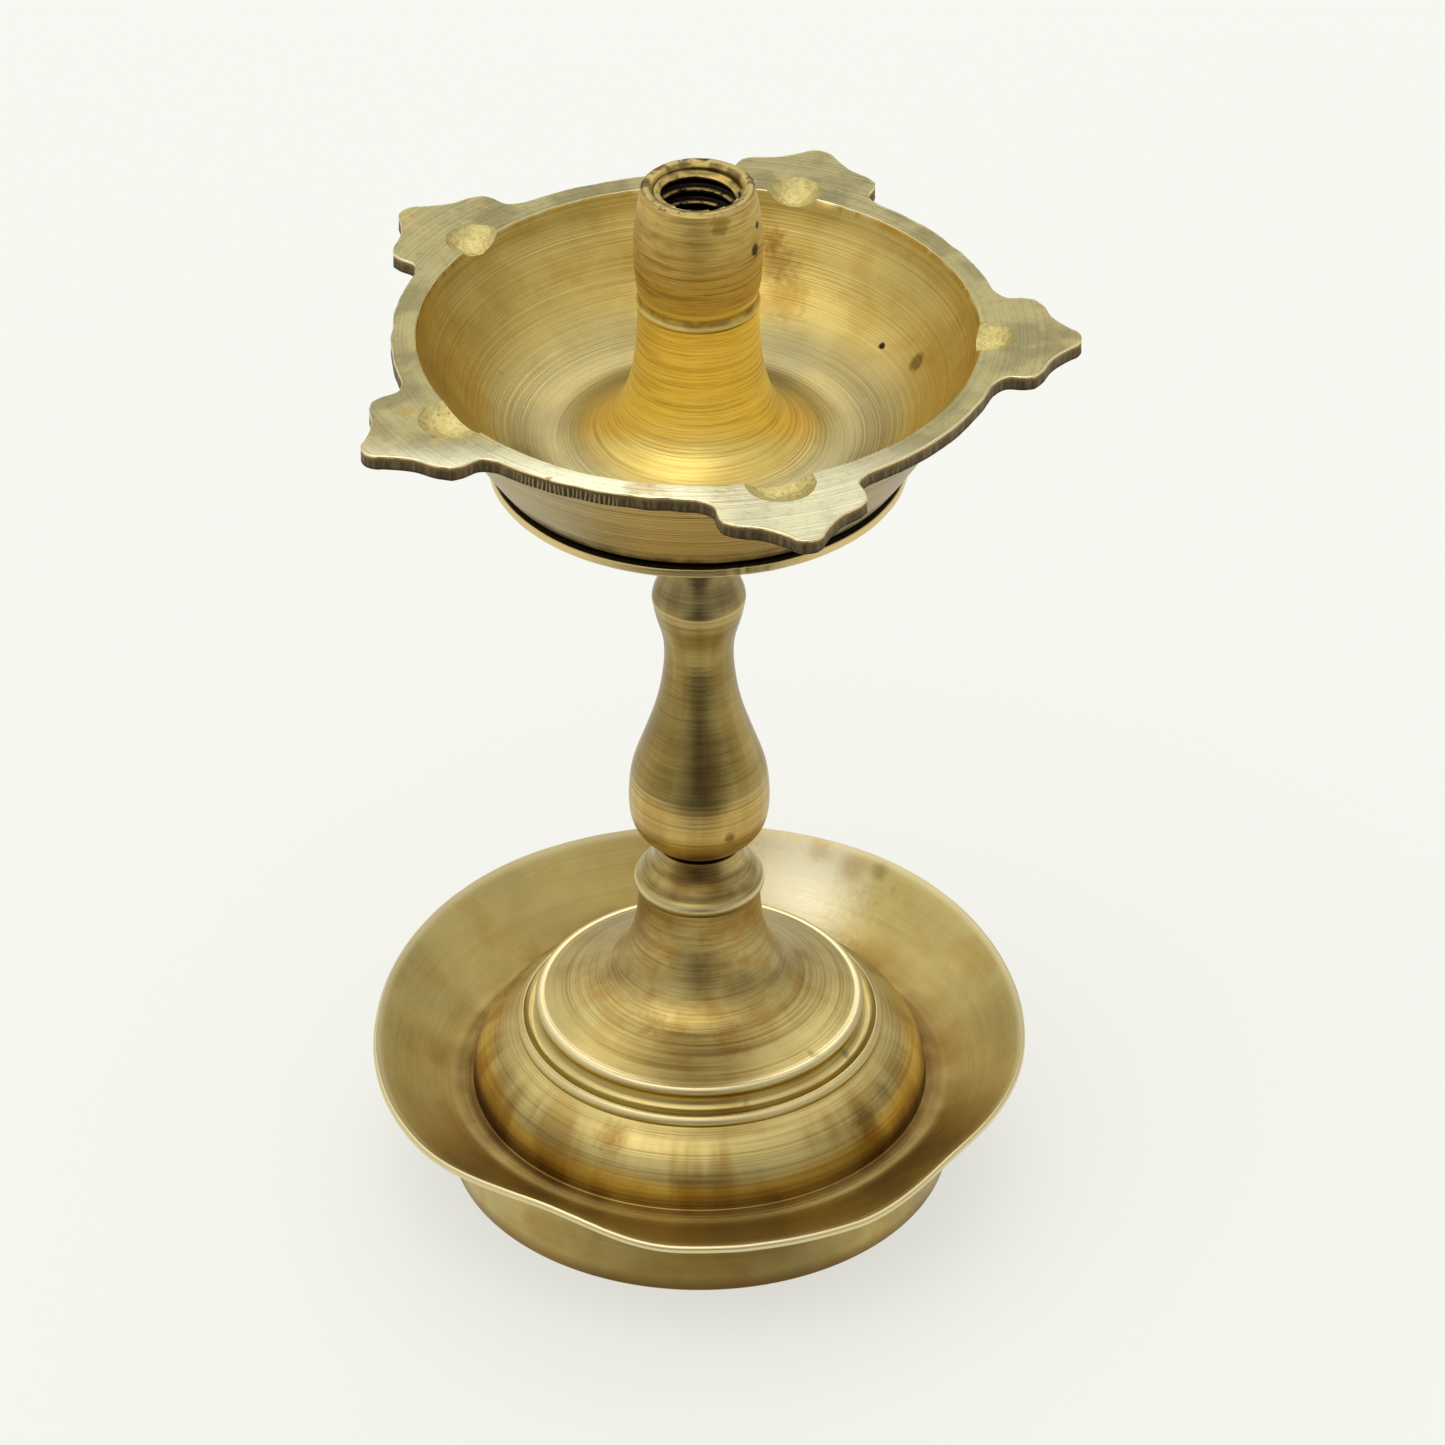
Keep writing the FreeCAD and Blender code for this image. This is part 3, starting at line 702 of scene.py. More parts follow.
class Shader(Nodes):
    """A material whose colour is built up in layers."""

    def __init__(self, name):
        self.mat = bpy.data.materials.new(name)
        self.mat.use_nodes = True
        super().__init__(self.mat.node_tree)
        self.bsdf = self.tree.nodes["Principled BSDF"]

    def place(self, seat=0.0):
        """Radius and height in millimetres, the unit direction round the axis, and the normal."""
        self.seat = seat
        coord = self.new("TexCoord")
        here = self.new("SeparateXYZ", coord.outputs["Object"])
        self.x, self.y, self.z = (self.mul(axis, 1 / MM) for axis in here.outputs)
        self.r = self.math("SQRT", self.add(self.mul(self.x, self.x), self.mul(self.y, self.y)))
        self.cx, self.cy = (self.math("DIVIDE", v, self.most(self.r, 0.001)) for v in (self.x, self.y))
        self.at = self.vector(self.x, self.y, self.z)
        self.nx, self.ny, self.nz = self.new("SeparateXYZ", coord.outputs["Normal"]).outputs

    def above(self, lo, hi, *out):
        """Smooth step of the height over the seat."""
        return self.ramp(self.z, self.seat + lo, self.seat + hi, *out)

    def level(self, lo, hi, soft):
        """1 between two heights over the seat."""
        return self.band(self.z, self.seat + lo, self.seat + hi, soft)

    def lines(self, fine, round_share, detail=3.0):
        """Noise drawn out round the axis, as a tool leaves it: fine lines per millimetre."""
        x, y = self.mul(self.cx, round_share), self.mul(self.cy, round_share)
        drawn = self.vector(x, y, self.mul(self.r, fine))
        return self.noise(drawn, 1.0, detail, 0.62, self.mul(self.z, fine))

    def spot(self, x, y, z, size, soft=0.35, rough=0.0):
        """1 inside a ball round a place, with a ragged edge."""
        dist = self.new("VectorMath", self.at, (x, y, z), operation="DISTANCE").outputs["Value"]
        if rough:
            dist = self.add(dist, self.mul(self.sub(self.noise(self.at, 1.1, 3.0), 0.5), rough))
        return self.fall(dist, size * (1 - soft), size * (1 + soft))

    def tarnish(self, clean, dull, strength, scale=0.09):
        """Starts the colour as patches of clean and dull brass."""
        patches = self.ramp(self.noise(self.at, scale, 4.0, 0.55), 0.35, 0.68)
        self.colour = self.mix(self.mul(patches, strength), clean, dull)

    def paint(self, colour, *shares):
        """Lays a colour over what is there, where the product of the shares is 1."""
        self.colour = self.mix(self.mul(*shares), self.colour, colour)

    def stain(self, factor, *shares):
        """Darkens the colour by factor, where the product of the shares is 1."""
        self.colour = self.mix(self.mul(*shares), self.colour, factor, "MULTIPLY")

    def spots(self, rows, soft=None):
        """Stains: x, y, z, size, raggedness, factor, share. Unless soft is given, large ones are softer."""
        for x, y, z, size, rough, factor, share in rows:
            edge = soft or (0.75 if size > 1.5 else 0.35)
            self.stain(factor, self.spot(x, y, z, size, edge, rough), share)

    def bump(self, height, distance):
        n = self.new("Bump")
        for key, value in (("Strength", 1.0), ("Distance", distance), ("Height", height)):
            self.put(n.inputs[key], value)
        return n.outputs[0]

    def finish(self, values):
        for key, value in values.items():
            self.put(self.bsdf.inputs[key], value)
        return self.mat

    def metal(self, rough, normal, brushed=0.0):
        """Brass of the colour so far. Brushed draws its highlights out across the turning lines."""
        if brushed:
            tangent = self.new("Tangent", direction_type="RADIAL", axis="Z").outputs[0]
            self.finish({"Anisotropic": brushed, "Tangent": tangent})
        return self.finish(
            {"Base Color": self.colour, "Roughness": rough, "Metallic": 1.0, "Normal": normal})


def dish_material():
    s = Shader("dish_brass")
    s.place(DISH_SEAT)
    fine, mid, broad = s.lines(3.6, 0.8, 2.0), s.lines(1.5, 0.5), s.lines(0.55, 0.35)
    soft, clouds = s.noise(s.at, 0.055, 3.0), s.noise(s.at, 0.16, 4.0)
    s.tarnish((0.66, 0.505, 0.158), (0.54, 0.415, 0.125), 0.8)
    # bowl: brown clouds on the wall, a paler floor
    inside = s.mul(s.ramp(s.nz, -0.05, 0.15), s.band(s.r, 9.0, 39.3, 1.0))
    s.stain((0.8, 0.66, 0.42), inside, s.ramp(clouds, 0.46, 0.66), 0.45)
    floor = s.mul(s.above(7.0, 12.5, 1.0, 0.0), s.ramp(s.r, 13.0, 19.0))
    s.paint((0.265, 0.24, 0.132), floor, s.ramp(soft, 0.35, 0.6, 0.9, 0.7))
    # column: yellower and cleaner than the bowl
    column = s.mul(s.fall(s.r, 10.0, 17.5), s.ramp(s.nz, -0.8, -0.4))
    gold = s.mix(s.ramp(s.r, 10.0, 13.0), (0.96, 0.78, 0.24), (0.82, 0.62, 0.17))
    s.paint(gold, column, 0.9)
    barrel = s.mul(s.fall(s.r, 9.6, 10.2), s.above(31.0, 32.5))
    s.paint((0.68, 0.48, 0.15), barrel, 0.8)
    # under the bowl: duller, with grime near the groove
    outside = s.mul(s.fall(s.nz, -0.25, 0.05), s.ramp(s.r, 27.0, 28.5))
    s.paint((0.37, 0.285, 0.105), outside, 0.85)
    # painted highlight: a lighter strip down the front of the bowl's underside
    s.paint((0.78, 0.6, 0.24), outside, s.fall(s.cy, -0.995, -0.86), 0.7)
    # turning lines
    strong = s.most(outside, s.ramp(s.r, 12.0, 20.0, 0.85, 0.36))
    s.stain((0.48, 0.4, 0.3), s.fall(fine, 0.34, 0.56), strong, 0.6)
    s.stain((0.52, 0.43, 0.32), s.ramp(mid, 0.53, 0.68), strong, 0.55)
    s.paint((0.9, 0.76, 0.42), s.ramp(s.lines(4.2, 0.8, 2.0), 0.58, 0.68), strong, 0.35)
    scored = s.add(s.mul(s.most(s.mul(barrel, 0.75), outside), 0.6), 0.08)
    s.stain((0.24, 0.19, 0.15), s.ramp(s.lines(1.9, 0.5, 2.0), 0.6, 0.68), scored)
    smoke = s.mul(barrel, s.ramp(s.noise(s.vector(s.x, s.y, s.mul(s.z, 2.5)), 0.35, 4.0), 0.48, 0.64))
    s.stain((0.66, 0.56, 0.44), smoke, 0.35)
    # rim's top: pale grey olive with warm patches, and near white at the front: a painted highlight
    top = s.mul(s.ramp(s.nz, 0.8, 0.93), s.above(23.3, 23.7))
    top = s.mul(top, s.ramp(s.r, 30.0, 34.0))
    front = s.mul(s.fall(s.y, -40.0, -26.0), s.ramp(s.x, -3.0, 6.0, 1.0, 0.5))
    pale = s.mix(s.ramp(s.noise(s.at, 0.13, 4.0), 0.4, 0.62), (0.34, 0.305, 0.145), (0.24, 0.21, 0.1))
    pale = s.mix(s.mul(front, 0.88), pale, (0.86, 0.85, 0.64))
    pale = s.mix(s.mul(s.ramp(s.noise(s.at, 0.21, 2.0), 0.56, 0.74), 0.6), pale, (0.46, 0.35, 0.14))
    pale = s.mix(s.mul(s.fall(fine, 0.38, 0.6), 0.35), pale, (0.52, 0.5, 0.46), "MULTIPLY")
    specks = s.ramp(s.noise(s.at, 0.7, 5.0, 0.7), 0.5, 0.7)
    pale = s.mix(s.mul(specks, 0.5), pale, (0.66, 0.6, 0.48), "MULTIPLY")
    s.paint(pale, top)
    # worn edge round the rim, bright and smooth
    edge = s.mul(s.level(23.66, 24.2, 0.05), s.fall(s.nz, 0.88, 0.96))
    edge = s.mul(edge, s.ramp(s.r, 38.5, 39.0))
    s.paint((0.86, 0.76, 0.47), edge, s.ramp(s.r, 40.0, 41.0, 0.55, 0.9))
    # side faces of rim and spouts: dull brown with upright file marks, darkest low down
    side = s.mul(s.level(21.72, 23.66, 0.08), s.fall(s.math("ABSOLUTE", s.nz), 0.4, 0.65))
    side = s.mul(side, s.ramp(s.r, 40.6, 41.4))
    upright = s.noise(s.vector(s.x, s.y, s.mul(s.z, 0.12)), 1.5, 3.0, 0.6)
    dark = s.mix(s.ramp(upright, 0.42, 0.66), (0.11, 0.085, 0.05), (0.235, 0.185, 0.11))
    dark = s.mix(s.mul(s.above(22.9, 23.6), 0.8), dark, (0.4, 0.24, 0.08))
    dark = s.mix(s.above(21.7, 22.5, 0.8, 0.0), dark, (0.38, 0.34, 0.3), "MULTIPLY")
    azimuth = s.math("ARCTAN2", s.y, s.x)
    chatter = s.math("SINE", s.add(s.mul(azimuth, 410.0), s.mul(s.noise(s.at, 0.45, 2.0), 9.0)))
    where = s.mul(s.band(azimuth, -2.18, -1.8, 0.05), s.ramp(s.noise(s.at, 0.3, 1.0), 0.3, 0.45))
    chatter = s.mul(s.ramp(chatter, -0.1, 0.8), s.mul(where, s.above(23.5, 22.9)))
    dark = s.mix(s.mul(where, 0.6), dark, (0.3, 0.28, 0.26), "MULTIPLY")
    dark = s.mix(s.mul(chatter, 0.9), dark, (0.46, 0.37, 0.19))
    s.paint(dark, side, 0.95)
    # lip: paler than the wall; groove above it black, with grime creeping up the wall
    lip = s.mul(s.level(2.3, 3.75, 0.08), s.ramp(s.r, 28.0, 28.6))
    s.paint((0.76, 0.59, 0.26), lip, 0.9)
    groove = s.mul(s.level(3.55, 4.75, 0.12), s.ramp(s.r, 27.0, 27.6))
    groove = s.mul(groove, s.most(s.fall(s.r, 28.3, 29.0), s.above(3.9, 4.2)))
    s.paint((0.03, 0.024, 0.014), groove, 0.96)
    creep = s.mul(outside, s.above(4.6, 8.6, 1.0, 0.0), s.above(4.0, 4.4))
    s.stain((0.26, 0.21, 0.15), creep, s.ramp(s.noise(s.at, 0.3, 3.0), 0.2, 0.75))
    scribe = s.mul(s.level(17.05, 17.15, 0.1), outside)
    s.paint((0.1, 0.07, 0.03), scribe, 0.75)
    # ring at the foot of the barrel: bright crest with a dark band above it
    cove = s.mul(s.level(29.7, 30.9, 0.35), s.fall(s.r, 9.4, 10.0))
    s.stain((0.36, 0.3, 0.26), cove, s.ramp(s.noise(s.at, 0.3, 3.0), 0.34, 0.6, 0.25, 0.9))
    crest = s.mul(s.level(29.22, 29.42, 0.1), s.fall(s.r, 9.4, 10.0))
    s.paint((0.88, 0.69, 0.3), crest, 0.6)
    # the barrel's flat top: pale, with dark nicks
    flat = s.mul(s.above(47.1, 47.4), s.ramp(s.r, 6.2, 6.4))
    s.paint((0.36, 0.28, 0.11), flat, s.fall(s.r, 8.2, 8.6), 0.85)
    nick = s.mul(flat, s.ramp(s.noise(s.at, 0.7, 4.0, 0.6), 0.53, 0.62))
    s.paint((0.09, 0.07, 0.04), nick, 0.8)
    # spots and stains
    s.spots((
        (26.0, 16.3, 128.8, 0.55, 0.5, (0.06, 0.05, 0.05), 1.0),
        (30.8, 9.4, 130.4, 1.35, 1.0, (0.34, 0.28, 0.22), 0.85),
        (11.4, 32.3, 132.9, 2.4, 3.6, (0.54, 0.42, 0.28), 0.8),
        (12.4, 28.4, 129.0, 3.2, 4.6, (0.64, 0.52, 0.36), 0.8),
        (10.6, 34.4, 135.3, 1.6, 3.0, (0.54, 0.42, 0.3), 0.8),
        (16.4, 30.6, 131.6, 0.7, 0.9, (0.5, 0.3, 0.18), 0.8),
        (6.0, 27.0, 126.9, 1.0, 3.0, (0.6, 0.4, 0.22), 0.7),
        (-24.0, -6.0, 126.0, 2.0, 4.0, (0.74, 0.6, 0.42), 0.6),
        (-27.0, 10.0, 129.0, 1.2, 2.6, (0.66, 0.5, 0.34), 0.6),
        (8.1, -3.0, 160.5, 0.55, 0.9, (0.08, 0.09, 0.14), 0.95),
        (7.8, -4.3, 157.3, 0.85, 1.0, (0.09, 0.1, 0.15), 0.95),
        (3.1, -7.7, 163.2, 1.3, 2.0, (0.5, 0.45, 0.24), 0.8),
        (-7.4, 1.0, 164.9, 1.3, 1.8, (0.28, 0.25, 0.2), 0.9),
        (-5.6, 5.2, 164.9, 1.0, 1.8, (0.3, 0.26, 0.2), 0.9),
        (0.8, 7.7, 164.8, 0.9, 1.6, (0.24, 0.21, 0.17), 0.9),
        (7.4, 2.4, 164.9, 0.7, 1.4, (0.34, 0.29, 0.22), 0.8),
        (-40.3, -20.3, 141.4, 1.4, 2.4, (1.0, 0.84, 0.52), 0.7),
        (-20.4, -37.6, 141.4, 0.5, 0.9, (0.55, 0.42, 0.26), 0.9),
    ))
    # socket: black and oily, with the thread's crests rubbed
    socket = s.mul(s.fall(s.r, 6.5, 7.1), s.above(12.0, 14.0))
    rubbed = s.mul(s.fall(s.r, 5.3, 5.75), s.ramp(s.noise(s.at, 0.6, 3.0), 0.34, 0.52))
    rubbed = s.mul(rubbed, s.above(36.6, 37.6))
    oily = s.mix(rubbed, (0.02, 0.016, 0.01), (0.48, 0.34, 0.12))
    mouth = s.add(s.z, s.mul(s.sub(s.noise(s.at, 0.45, 3.0), 0.5), 4.6))
    s.paint(oily, socket, s.fall(mouth, DISH_SEAT + 45.2, DISH_SEAT + 46.8))
    bevel = s.mul(socket, s.ramp(mouth, DISH_SEAT + 45.2, DISH_SEAT + 46.8))
    worn = s.mix(s.ramp(s.noise(s.at, 0.42, 3.0), 0.44, 0.6), (0.42, 0.31, 0.095), (0.1, 0.075, 0.03))
    s.paint(worn, bevel, 0.8)
    rough = s.add(s.mul(fine, 0.2), 0.26, s.mul(top, 0.05), s.mul(side, 0.25), s.mul(edge, -0.1))
    rough = s.sub(s.add(rough, s.mul(barrel, 0.13)), s.mul(socket, 0.1))
    height = s.add(s.mul(fine, 0.9), s.add(s.mul(mid, 1.1), s.mul(broad, 1.2)))
    height = s.add(height, s.mul(side, s.add(s.mul(upright, 1.2), s.mul(chatter, 1.2))))
    height = s.sub(height, s.mul(scribe, 1.2))
    return s.metal(rough, s.bump(height, 0.05 * MM), 0.35)


def notch_material():
    """The wick scoops: cast, never polished, pale yellow with a few pits."""
    s = Shader("notch_brass")
    s.place()
    grain, pits = s.noise(s.at, 1.3, 4.0, 0.6), s.noise(s.at, 1.7, 2.0)
    s.colour = s.mix(s.ramp(grain, 0.36, 0.64), (0.47, 0.39, 0.15), (0.58, 0.5, 0.22))
    pit = s.ramp(pits, 0.7, 0.75)
    s.paint((0.18, 0.12, 0.04), pit, 0.7)
    normal = s.bump(s.sub(grain, s.mul(pit, 0.6)), 0.16 * MM)
    return s.metal(s.add(s.mul(grain, 0.2), 0.42), normal)


def base_material():
    s = Shader("base_brass")
    s.place()
    fine, mid, broad = s.lines(3.0, 0.7, 2.0), s.lines(1.2, 0.5), s.lines(0.42, 0.4)
    soft, clouds = s.noise(s.at, 0.1, 4.0), s.noise(s.at, 0.17, 4.0)
    s.tarnish((0.6, 0.49, 0.195), (0.475, 0.385, 0.15), 0.9, 0.075)
    s.stain((0.92, 0.8, 0.64), s.ramp(s.noise(s.at, 0.13, 3.0), 0.5, 0.7), 0.7)
    turned = s.ramp(s.r, 34.5, 37.5, 1.0, 0.3)
    s.stain((0.5, 0.42, 0.32), s.fall(fine, 0.34, 0.56), turned, 0.5)
    s.stain((0.52, 0.44, 0.34), s.ramp(mid, 0.53, 0.7), turned, 0.36)
    s.stain((0.62, 0.5, 0.36), s.ramp(broad, 0.55, 0.68), turned, 0.35)
    # dome: brown, upright soft bands low on its side, browner still at its foot
    side = s.mul(s.level(12.0, 21.5, 1.5), s.fall(s.r, 34.0, 35.0))
    upright = s.noise(s.vector(s.mul(s.cx, 5.0), s.mul(s.cy, 5.0), s.mul(s.z, 0.05)), 1.0, 3.0, 0.55)
    s.stain((0.66, 0.54, 0.38), side, s.ramp(upright, 0.42, 0.62, 0.1, 0.85))
    s.stain((0.72, 0.59, 0.44), side, s.above(12.5, 18.0, 0.7, 0.0))
    # brown mottling round the neck and on the shoulder
    neck = s.level(29.5, 46.5, 1.6)
    s.stain((0.78, 0.6, 0.41), neck, s.ramp(s.noise(s.at, 0.22, 5.0, 0.6), 0.4, 0.68, 0.15, 0.8))
    s.stain((0.66, 0.54, 0.4), s.above(28.5, 34.0), s.ramp(soft, 0.48, 0.62, 0.0, 0.4))
    collar = s.above(48.6, 50.0)
    s.stain((0.56, 0.47, 0.38), collar, s.ramp(clouds, 0.4, 0.62, 0.35, 0.9))
    # painted shade: the collar is darker at its front
    s.stain((0.5, 0.46, 0.42), collar, s.ramp(s.cy, -0.98, -0.7, 0.8, 0.0))
    # beads and the ring under the collar: rubbed bright and given a painted highlight on their crests,
    # brown between the beads
    between_beads = s.mul(s.level(24.2, 25.6, 0.35), s.band(s.r, 24.0, 26.6, 0.4))
    s.stain((0.62, 0.46, 0.3), between_beads, 0.55)
    for z, half, r_low, share in ((26.9, 0.6, 22.7, 0.6), (23.2, 0.6, 26.0, 0.6), (48.2, 0.7, 9.0, 0.4)):
        crest = s.mul(s.level(z - half, z + half, 0.3), s.band(s.r, r_low, r_low + 1.6, 0.25))
        s.paint((0.84, 0.745, 0.46), crest, share)
    # tray: brown grime in the channel, thinning out up the wall
    channel = s.mul(s.band(s.r, 32.6, 36.6, 1.3), s.level(11.6, 14.4, 1.0))
    creep = s.mul(s.band(s.r, 31.8, 39.4, 2.6), s.level(11.0, 16.4, 2.4))
    rear = s.ramp(s.y, -34.0, -12.0, 0.15, 1.0)
    s.stain((0.66, 0.57, 0.45), creep, rear, s.ramp(clouds, 0.3, 0.66, 0.5, 0.9))
    s.stain((0.46, 0.4, 0.34), channel, rear, s.ramp(clouds, 0.25, 0.62, 0.8, 1.0))
    warm = s.mul(s.band(s.r, 36.5, 45.5, 1.5), s.ramp(s.nz, 0.0, 0.3))
    s.stain((0.88, 0.8, 0.64), warm, s.ramp(s.y, 0.0, 20.0, 0.9, 0.3))
    # painted highlight: a pale patch on the tray at the back right
    s.paint((0.9, 0.85, 0.64), s.spot(14.0, 40.0, 19.5, 9.0, 0.8, 6.0), 0.8)
    # rim's edge rubbed bright: the outermost millimetre of the tray
    s.paint((0.8, 0.7, 0.42), s.ramp(s.r, 46.6, 47.4), 0.75)
    # foot: darkest at its lower edge
    foot = s.mul(s.band(s.r, 36.8, 37.2, 0.05), s.fall(s.z, 11.2, 11.8))
    s.stain((0.8, 0.68, 0.5), foot, s.ramp(soft, 0.4, 0.62, 0.1, 0.7))
    s.stain((0.46, 0.36, 0.26), foot, s.above(0.2, 3.0, 0.85, 0.0))
    # painted shade: the foot is darker at its front
    s.stain((0.5, 0.44, 0.36), foot, s.ramp(s.cy, -0.99, -0.7, 0.9, 0.0))
    # spots
    s.spots((
        (7.0, -23.6, 24.6, 0.8, 1.2, (0.34, 0.2, 0.2), 0.9),
        (21.6, -11.2, 24.4, 0.75, 1.0, (0.26, 0.26, 0.3), 0.9),
        (16.5, -15.8, 27.8, 0.8, 1.6, (0.5, 0.48, 0.48), 0.8),
        (23.1, 39.4, 21.2, 1.7, 3.2, (0.72, 0.61, 0.48), 0.7),
        (27.3, 37.4, 21.9, 1.2, 1.6, (0.52, 0.48, 0.42), 0.7),
        (18.3, 42.7, 22.2, 1.6, 3.2, (0.78, 0.66, 0.52), 0.7),
        (30.0, 35.0, 20.0, 0.9, 1.4, (0.52, 0.46, 0.42), 0.7),
        (-13.0, -26.5, 20.6, 2.0, 3.6, (0.62, 0.5, 0.4), 0.8),
        (24.5, -20.5, 18.5, 2.2, 5.0, (0.56, 0.5, 0.42), 0.7),
        (27.2, -14.5, 20.0, 1.2, 3.0, (0.56, 0.5, 0.42), 0.6),
        (5.0, -16.0, 30.0, 2.4, 4.0, (0.72, 0.56, 0.4), 0.6),
        (-7.0, -13.5, 31.5, 1.6, 3.6, (0.66, 0.52, 0.36), 0.7),
    ), 0.7)
    # the hollow underneath: as cast, dark and rough
    inward = s.add(s.mul(s.nx, s.cx), s.mul(s.ny, s.cy))
    inward = s.mul(s.fall(inward, -0.3, -0.1), s.fall(s.z, 21.5, 22.5))
    hollow = s.most(inward, s.fall(s.nz, -0.7, -0.5))
    hollow = s.mul(hollow, s.fall(s.r, 34.45, 34.6), s.fall(s.z, 30.0, 31.0))
    hollow = s.mul(hollow, s.above(0.15, 0.6))
    cast = s.noise(s.at, 0.8, 6.0, 0.7)
    s.paint(s.mix(s.ramp(cast, 0.35, 0.65), (0.16, 0.115, 0.06), (0.3, 0.22, 0.11)), hollow)
    rough = s.add(s.mul(fine, 0.18), 0.26, s.mul(hollow, 0.28), s.mul(channel, 0.14))
    height = s.mul(s.add(s.mul(fine, 0.7), s.add(s.mul(mid, 0.8), s.mul(broad, 1.0))), turned)
    height = s.add(height, s.mul(hollow, cast, 6.0))
    return s.metal(rough, s.bump(height, 0.04 * MM), 0.3)


def stem_material():
    s = Shader("stem_brass")
    s.place()
    fine, mid, broad = s.lines(3.2, 0.6, 2.0), s.lines(1.3, 0.4), s.lines(0.5, 0.3)
    s.tarnish((0.43, 0.325, 0.108), (0.32, 0.245, 0.082), 0.9, 0.1)
    # below the belly's line the colour is yellower, a painted reflection of the golden dome below it; above
    # the knob it is greyer and darker, painted shade under the dish
    s.paint((0.66, 0.48, 0.155), s.fall(s.z, 66.2, 66.9), 0.85)
    s.paint((0.3, 0.25, 0.13), s.above(97.2, 98.2), 0.65)
    upright = s.noise(s.vector(s.mul(s.cx, 2.2), s.mul(s.cy, 2.2), s.mul(s.z, 0.03)), 1.0, 3.0, 0.5)
    s.stain((0.78, 0.7, 0.6), s.ramp(upright, 0.42, 0.6, 0.0, 0.7))
    s.stain((0.42, 0.32, 0.22), s.above(54.5, 56.0, 0.9, 0.0))
    s.stain((0.5, 0.42, 0.34), s.fall(fine, 0.34, 0.56), 0.35)
    s.stain((0.52, 0.44, 0.34), s.ramp(mid, 0.53, 0.7), 0.3)
    s.stain((0.62, 0.54, 0.42), s.ramp(broad, 0.54, 0.66), 0.25)
    rubbed = (67.0, 0.22, 9.0, 0.45), (97.1, 0.22, 6.0, 0.6), (115.9, 0.2, 8.4, 0.5), (96.2, 0.5, 6.0, 0.3)
    for z, half, r_low, share in rubbed:
        line = s.level(z - half, z + half, 0.18)
        s.paint((0.66, 0.52, 0.24), line, s.ramp(s.r, r_low, r_low + 0.3), share)
    for z, half, share in ((65.9, 0.15, 0.5), (63.6, 0.12, 0.35), (94.0, 0.25, 0.35)):
        s.paint((0.14, 0.095, 0.04), s.level(z - half, z + half, 0.12), share)
    # the first two spots darken the front of the belly: a painted dark reflection
    s.spots((
        (0.8, -9.0, 75.5, 4.6, 2.0, (0.56, 0.54, 0.52), 0.8),
        (0.8, -9.6, 70.5, 3.6, 2.0, (0.7, 0.68, 0.64), 0.8),
        (4.4, -9.1, 61.3, 0.7, 1.2, (0.34, 0.3, 0.26), 0.8),
        (3.3, -6.9, 107.0, 0.8, 1.6, (0.86, 0.56, 0.38), 0.8),
    ), 0.6)
    rough = s.add(s.mul(fine, 0.18), 0.24)
    height = s.add(s.mul(fine, 0.7), s.add(s.mul(mid, 0.8), s.mul(broad, 1.0)))
    return s.metal(rough, s.bump(height, 0.04 * MM), 0.3)


def stud_brass_material():
    s = Shader("stud_brass")
    s.place()
    fine, patch = s.lines(4.0, 1.5), s.noise(s.at, 0.5, 4.0)
    s.colour = s.mix(s.ramp(patch, 0.38, 0.62), (0.58, 0.44, 0.17), (0.44, 0.32, 0.12))
    # crests of the thread rubbed, grime at its root
    s.paint((0.1, 0.07, 0.03), s.ramp(s.r, 2.35, 3.0, 0.8, 0.0))
    s.paint((0.76, 0.62, 0.3), s.ramp(s.r, 3.05, 3.15), 0.7)
    return s.metal(s.add(s.mul(fine, 0.2), 0.24), s.bump(s.add(fine, patch), 0.03 * MM))


# The pieces

def dress(piece, body, node, slot, *materials):
    piece.data.materials.clear()
    for material in materials:
        piece.data.materials.append(material)
    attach(piece, body)
    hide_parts(node)


def scoop_faces(mesh):
    """Gives the faces inside the wick scoops their own material."""
    mesh.polygons.foreach_set("material_index", [0] * len(mesh.polygons))
    for centre, ball in scoop_balls():
        for face in mesh.polygons:
            ray = centre - face.center / MM
            if ray.length < ball + 0.15 and face.normal.dot(ray.normalized()) > 0.8:
                face.material_index = 1


dress(base_object(), "base", "base", "base_brass", base_material())
dress(stem_object(), "stem", "stem", "stem_brass", stem_material())
dish = dish_object()
dress(dish, "dish", "dish", "dish_brass", dish_material(), notch_material())
scoop_faces(dish.data)
stud_material = stud_brass_material()
for name in ("lower_stud", "upper_stud"):
    node = frame["nodes"][name]
    node.data.materials.clear()
    node.data.materials.append(stud_material)


# Stage, light and camera

def stage():
    bm = bmesh.new()
    bmesh.ops.create_grid(bm, x_segments=8, y_segments=8, size=3.0)
    mesh = bpy.data.meshes.new("floor")
    bm.to_mesh(mesh)
    bm.free()
    s = Shader("floor_white")
    s.finish({"Base Color": (0.79, 0.79, 0.765, 1), "Roughness": 0.6, "Specular IOR Level": 0.25})
    # Seen straight on or in the metal the floor glows a little, which keeps its shadow faint.
    glow = s.new("Emission", (0.91, 0.915, 0.87, 1)).outputs[0]
    ray = s.new("LightPath").outputs
    seen = s.most(*(ray[kind] for kind in ("Is Camera Ray", "Is Glossy Ray", "Is Transmission Ray")))
    both = s.new("MixShader", s.mul(seen, 0.68), s.bsdf.outputs[0], glow)
    s.put(s.tree.nodes["Material Output"].inputs["Surface"], both.outputs[0])
    mesh.materials.append(s.mat)
    add_object("floor", mesh)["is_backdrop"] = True


def lamp(name, place, target, size, radiance, colour):
    data = bpy.data.lights.new(name, "AREA")
    data.shape, data.size, data.size_y = "RECTANGLE", size[0], size[1]
    data.energy, data.color = radiance * math.pi * size[0] * size[1], colour
    obj = add_object(name, data)
    obj.location = place
    obj.rotation_euler = (Vector(target) - Vector(place)).to_track_quat("-Z", "Y").to_euler()
    obj.visible_camera = False


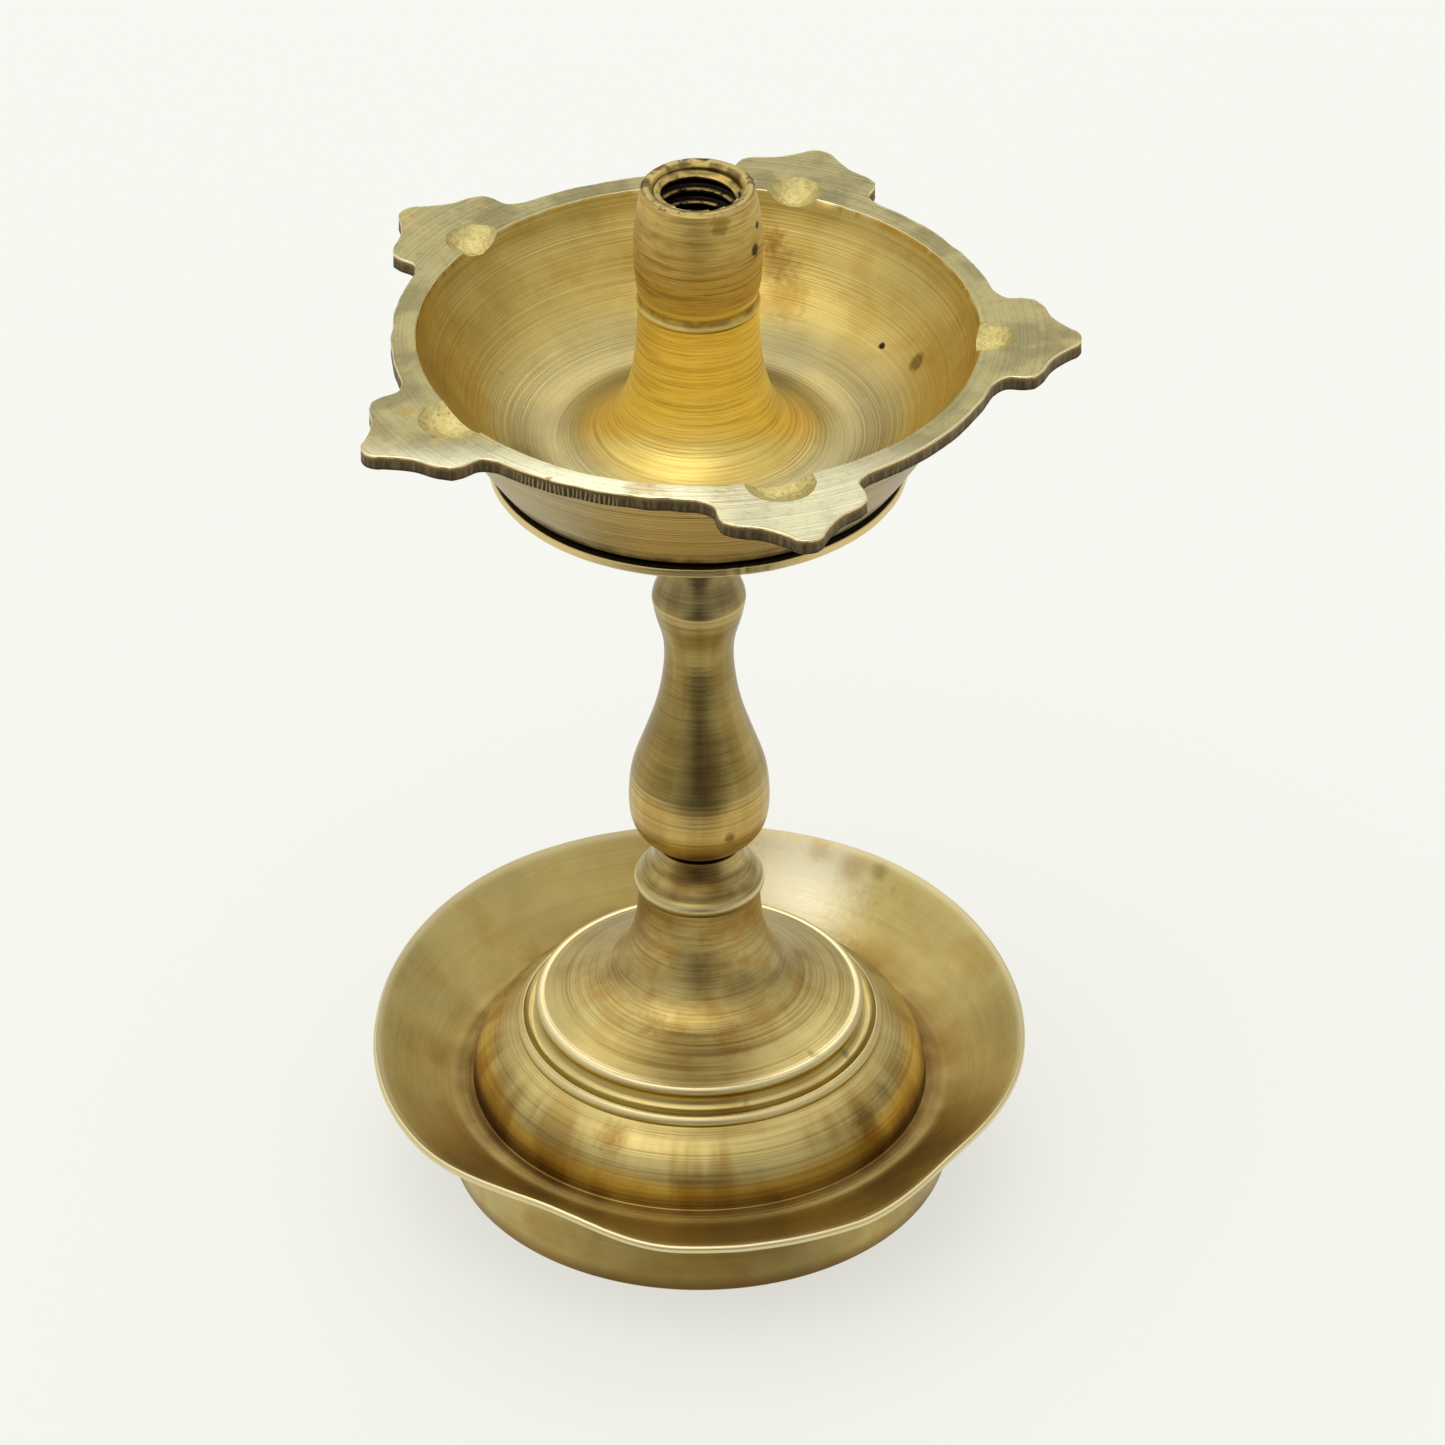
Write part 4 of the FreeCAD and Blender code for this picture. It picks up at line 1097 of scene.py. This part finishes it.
def world():
    """A pale room, a little brighter on the left than on the right, dimmest low in front."""
    room = bpy.data.worlds.new("studio")
    bpy.context.scene.world = room
    room.use_nodes = True
    n = Nodes(room.node_tree)
    x, y, z = n.new("SeparateXYZ", n.new("TexCoord").outputs["Generated"]).outputs
    across, upward = n.ramp(x, -1.0, 1.0, 1.04, 0.76), n.ramp(z, 0.0, 0.85, 0.55, 1.30)
    back = n.tree.nodes["Background"].inputs
    n.put(back["Strength"], n.mul(across, upward, n.ramp(y, -1.0, 0.3, 0.85, 1.0)))
    n.put(back["Color"], (1.0, 0.99, 0.95, 1))


def shade_card():
    """A dark sheet in front, flat on the table and turned up at its far end, seen only in reflections: a
    painted dark reflection standing in for the dim room in front.
    """
    mesh = bpy.data.meshes.new("shade_card")
    corners = [(x, y, z) for y, z in ((-0.13, 0.001), (-1.0, 0.001), (-1.1, 0.45)) for x in (-0.19, 0.19)]
    mesh.from_pydata(corners, [], [(0, 1, 3, 2), (2, 3, 5, 4)])
    grey = Shader("shade_card_grey").finish({"Base Color": (0.06, 0.055, 0.05, 1), "Roughness": 0.9})
    mesh.materials.append(grey)
    obj = add_object("shade_card", mesh)
    for flag in ("visible_camera", "visible_diffuse", "visible_shadow", "visible_transmission"):
        setattr(obj, flag, False)
    obj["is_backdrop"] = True


def camera():
    data = bpy.data.cameras.new("camera")
    data.sensor_fit, data.sensor_width, data.lens = "HORIZONTAL", 36.0, 210.3
    data.clip_start, data.clip_end = 0.05, 20.0
    obj = add_object("camera", data)
    tilt, turn = math.radians(34.568), math.radians(0.193)
    ahead = Vector((math.sin(turn) * math.cos(tilt), math.cos(turn) * math.cos(tilt), -math.sin(tilt)))
    obj.rotation_euler = ahead.to_track_quat("-Z", "Y").to_euler()
    obj.location = (0.0, -1.0, 0.7642)
    bpy.context.scene.camera = obj


stage()
world()
shade_card()
camera()
lamp("front", (-0.35, -0.55, 1.5), (0, 0, 0.08), (1.5, 1.1), 0.9, (1.0, 0.98, 0.94))
lamp("window", (0.1, 0.9, 1.2), (0, 0, 0.12), (1.2, 0.8), 1.4, (1.0, 0.99, 0.95))
bpy.context.scene.view_settings.view_transform = "Standard"

[[list(map(float, corner)) for corner in box] for box in (cad_box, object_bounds())]
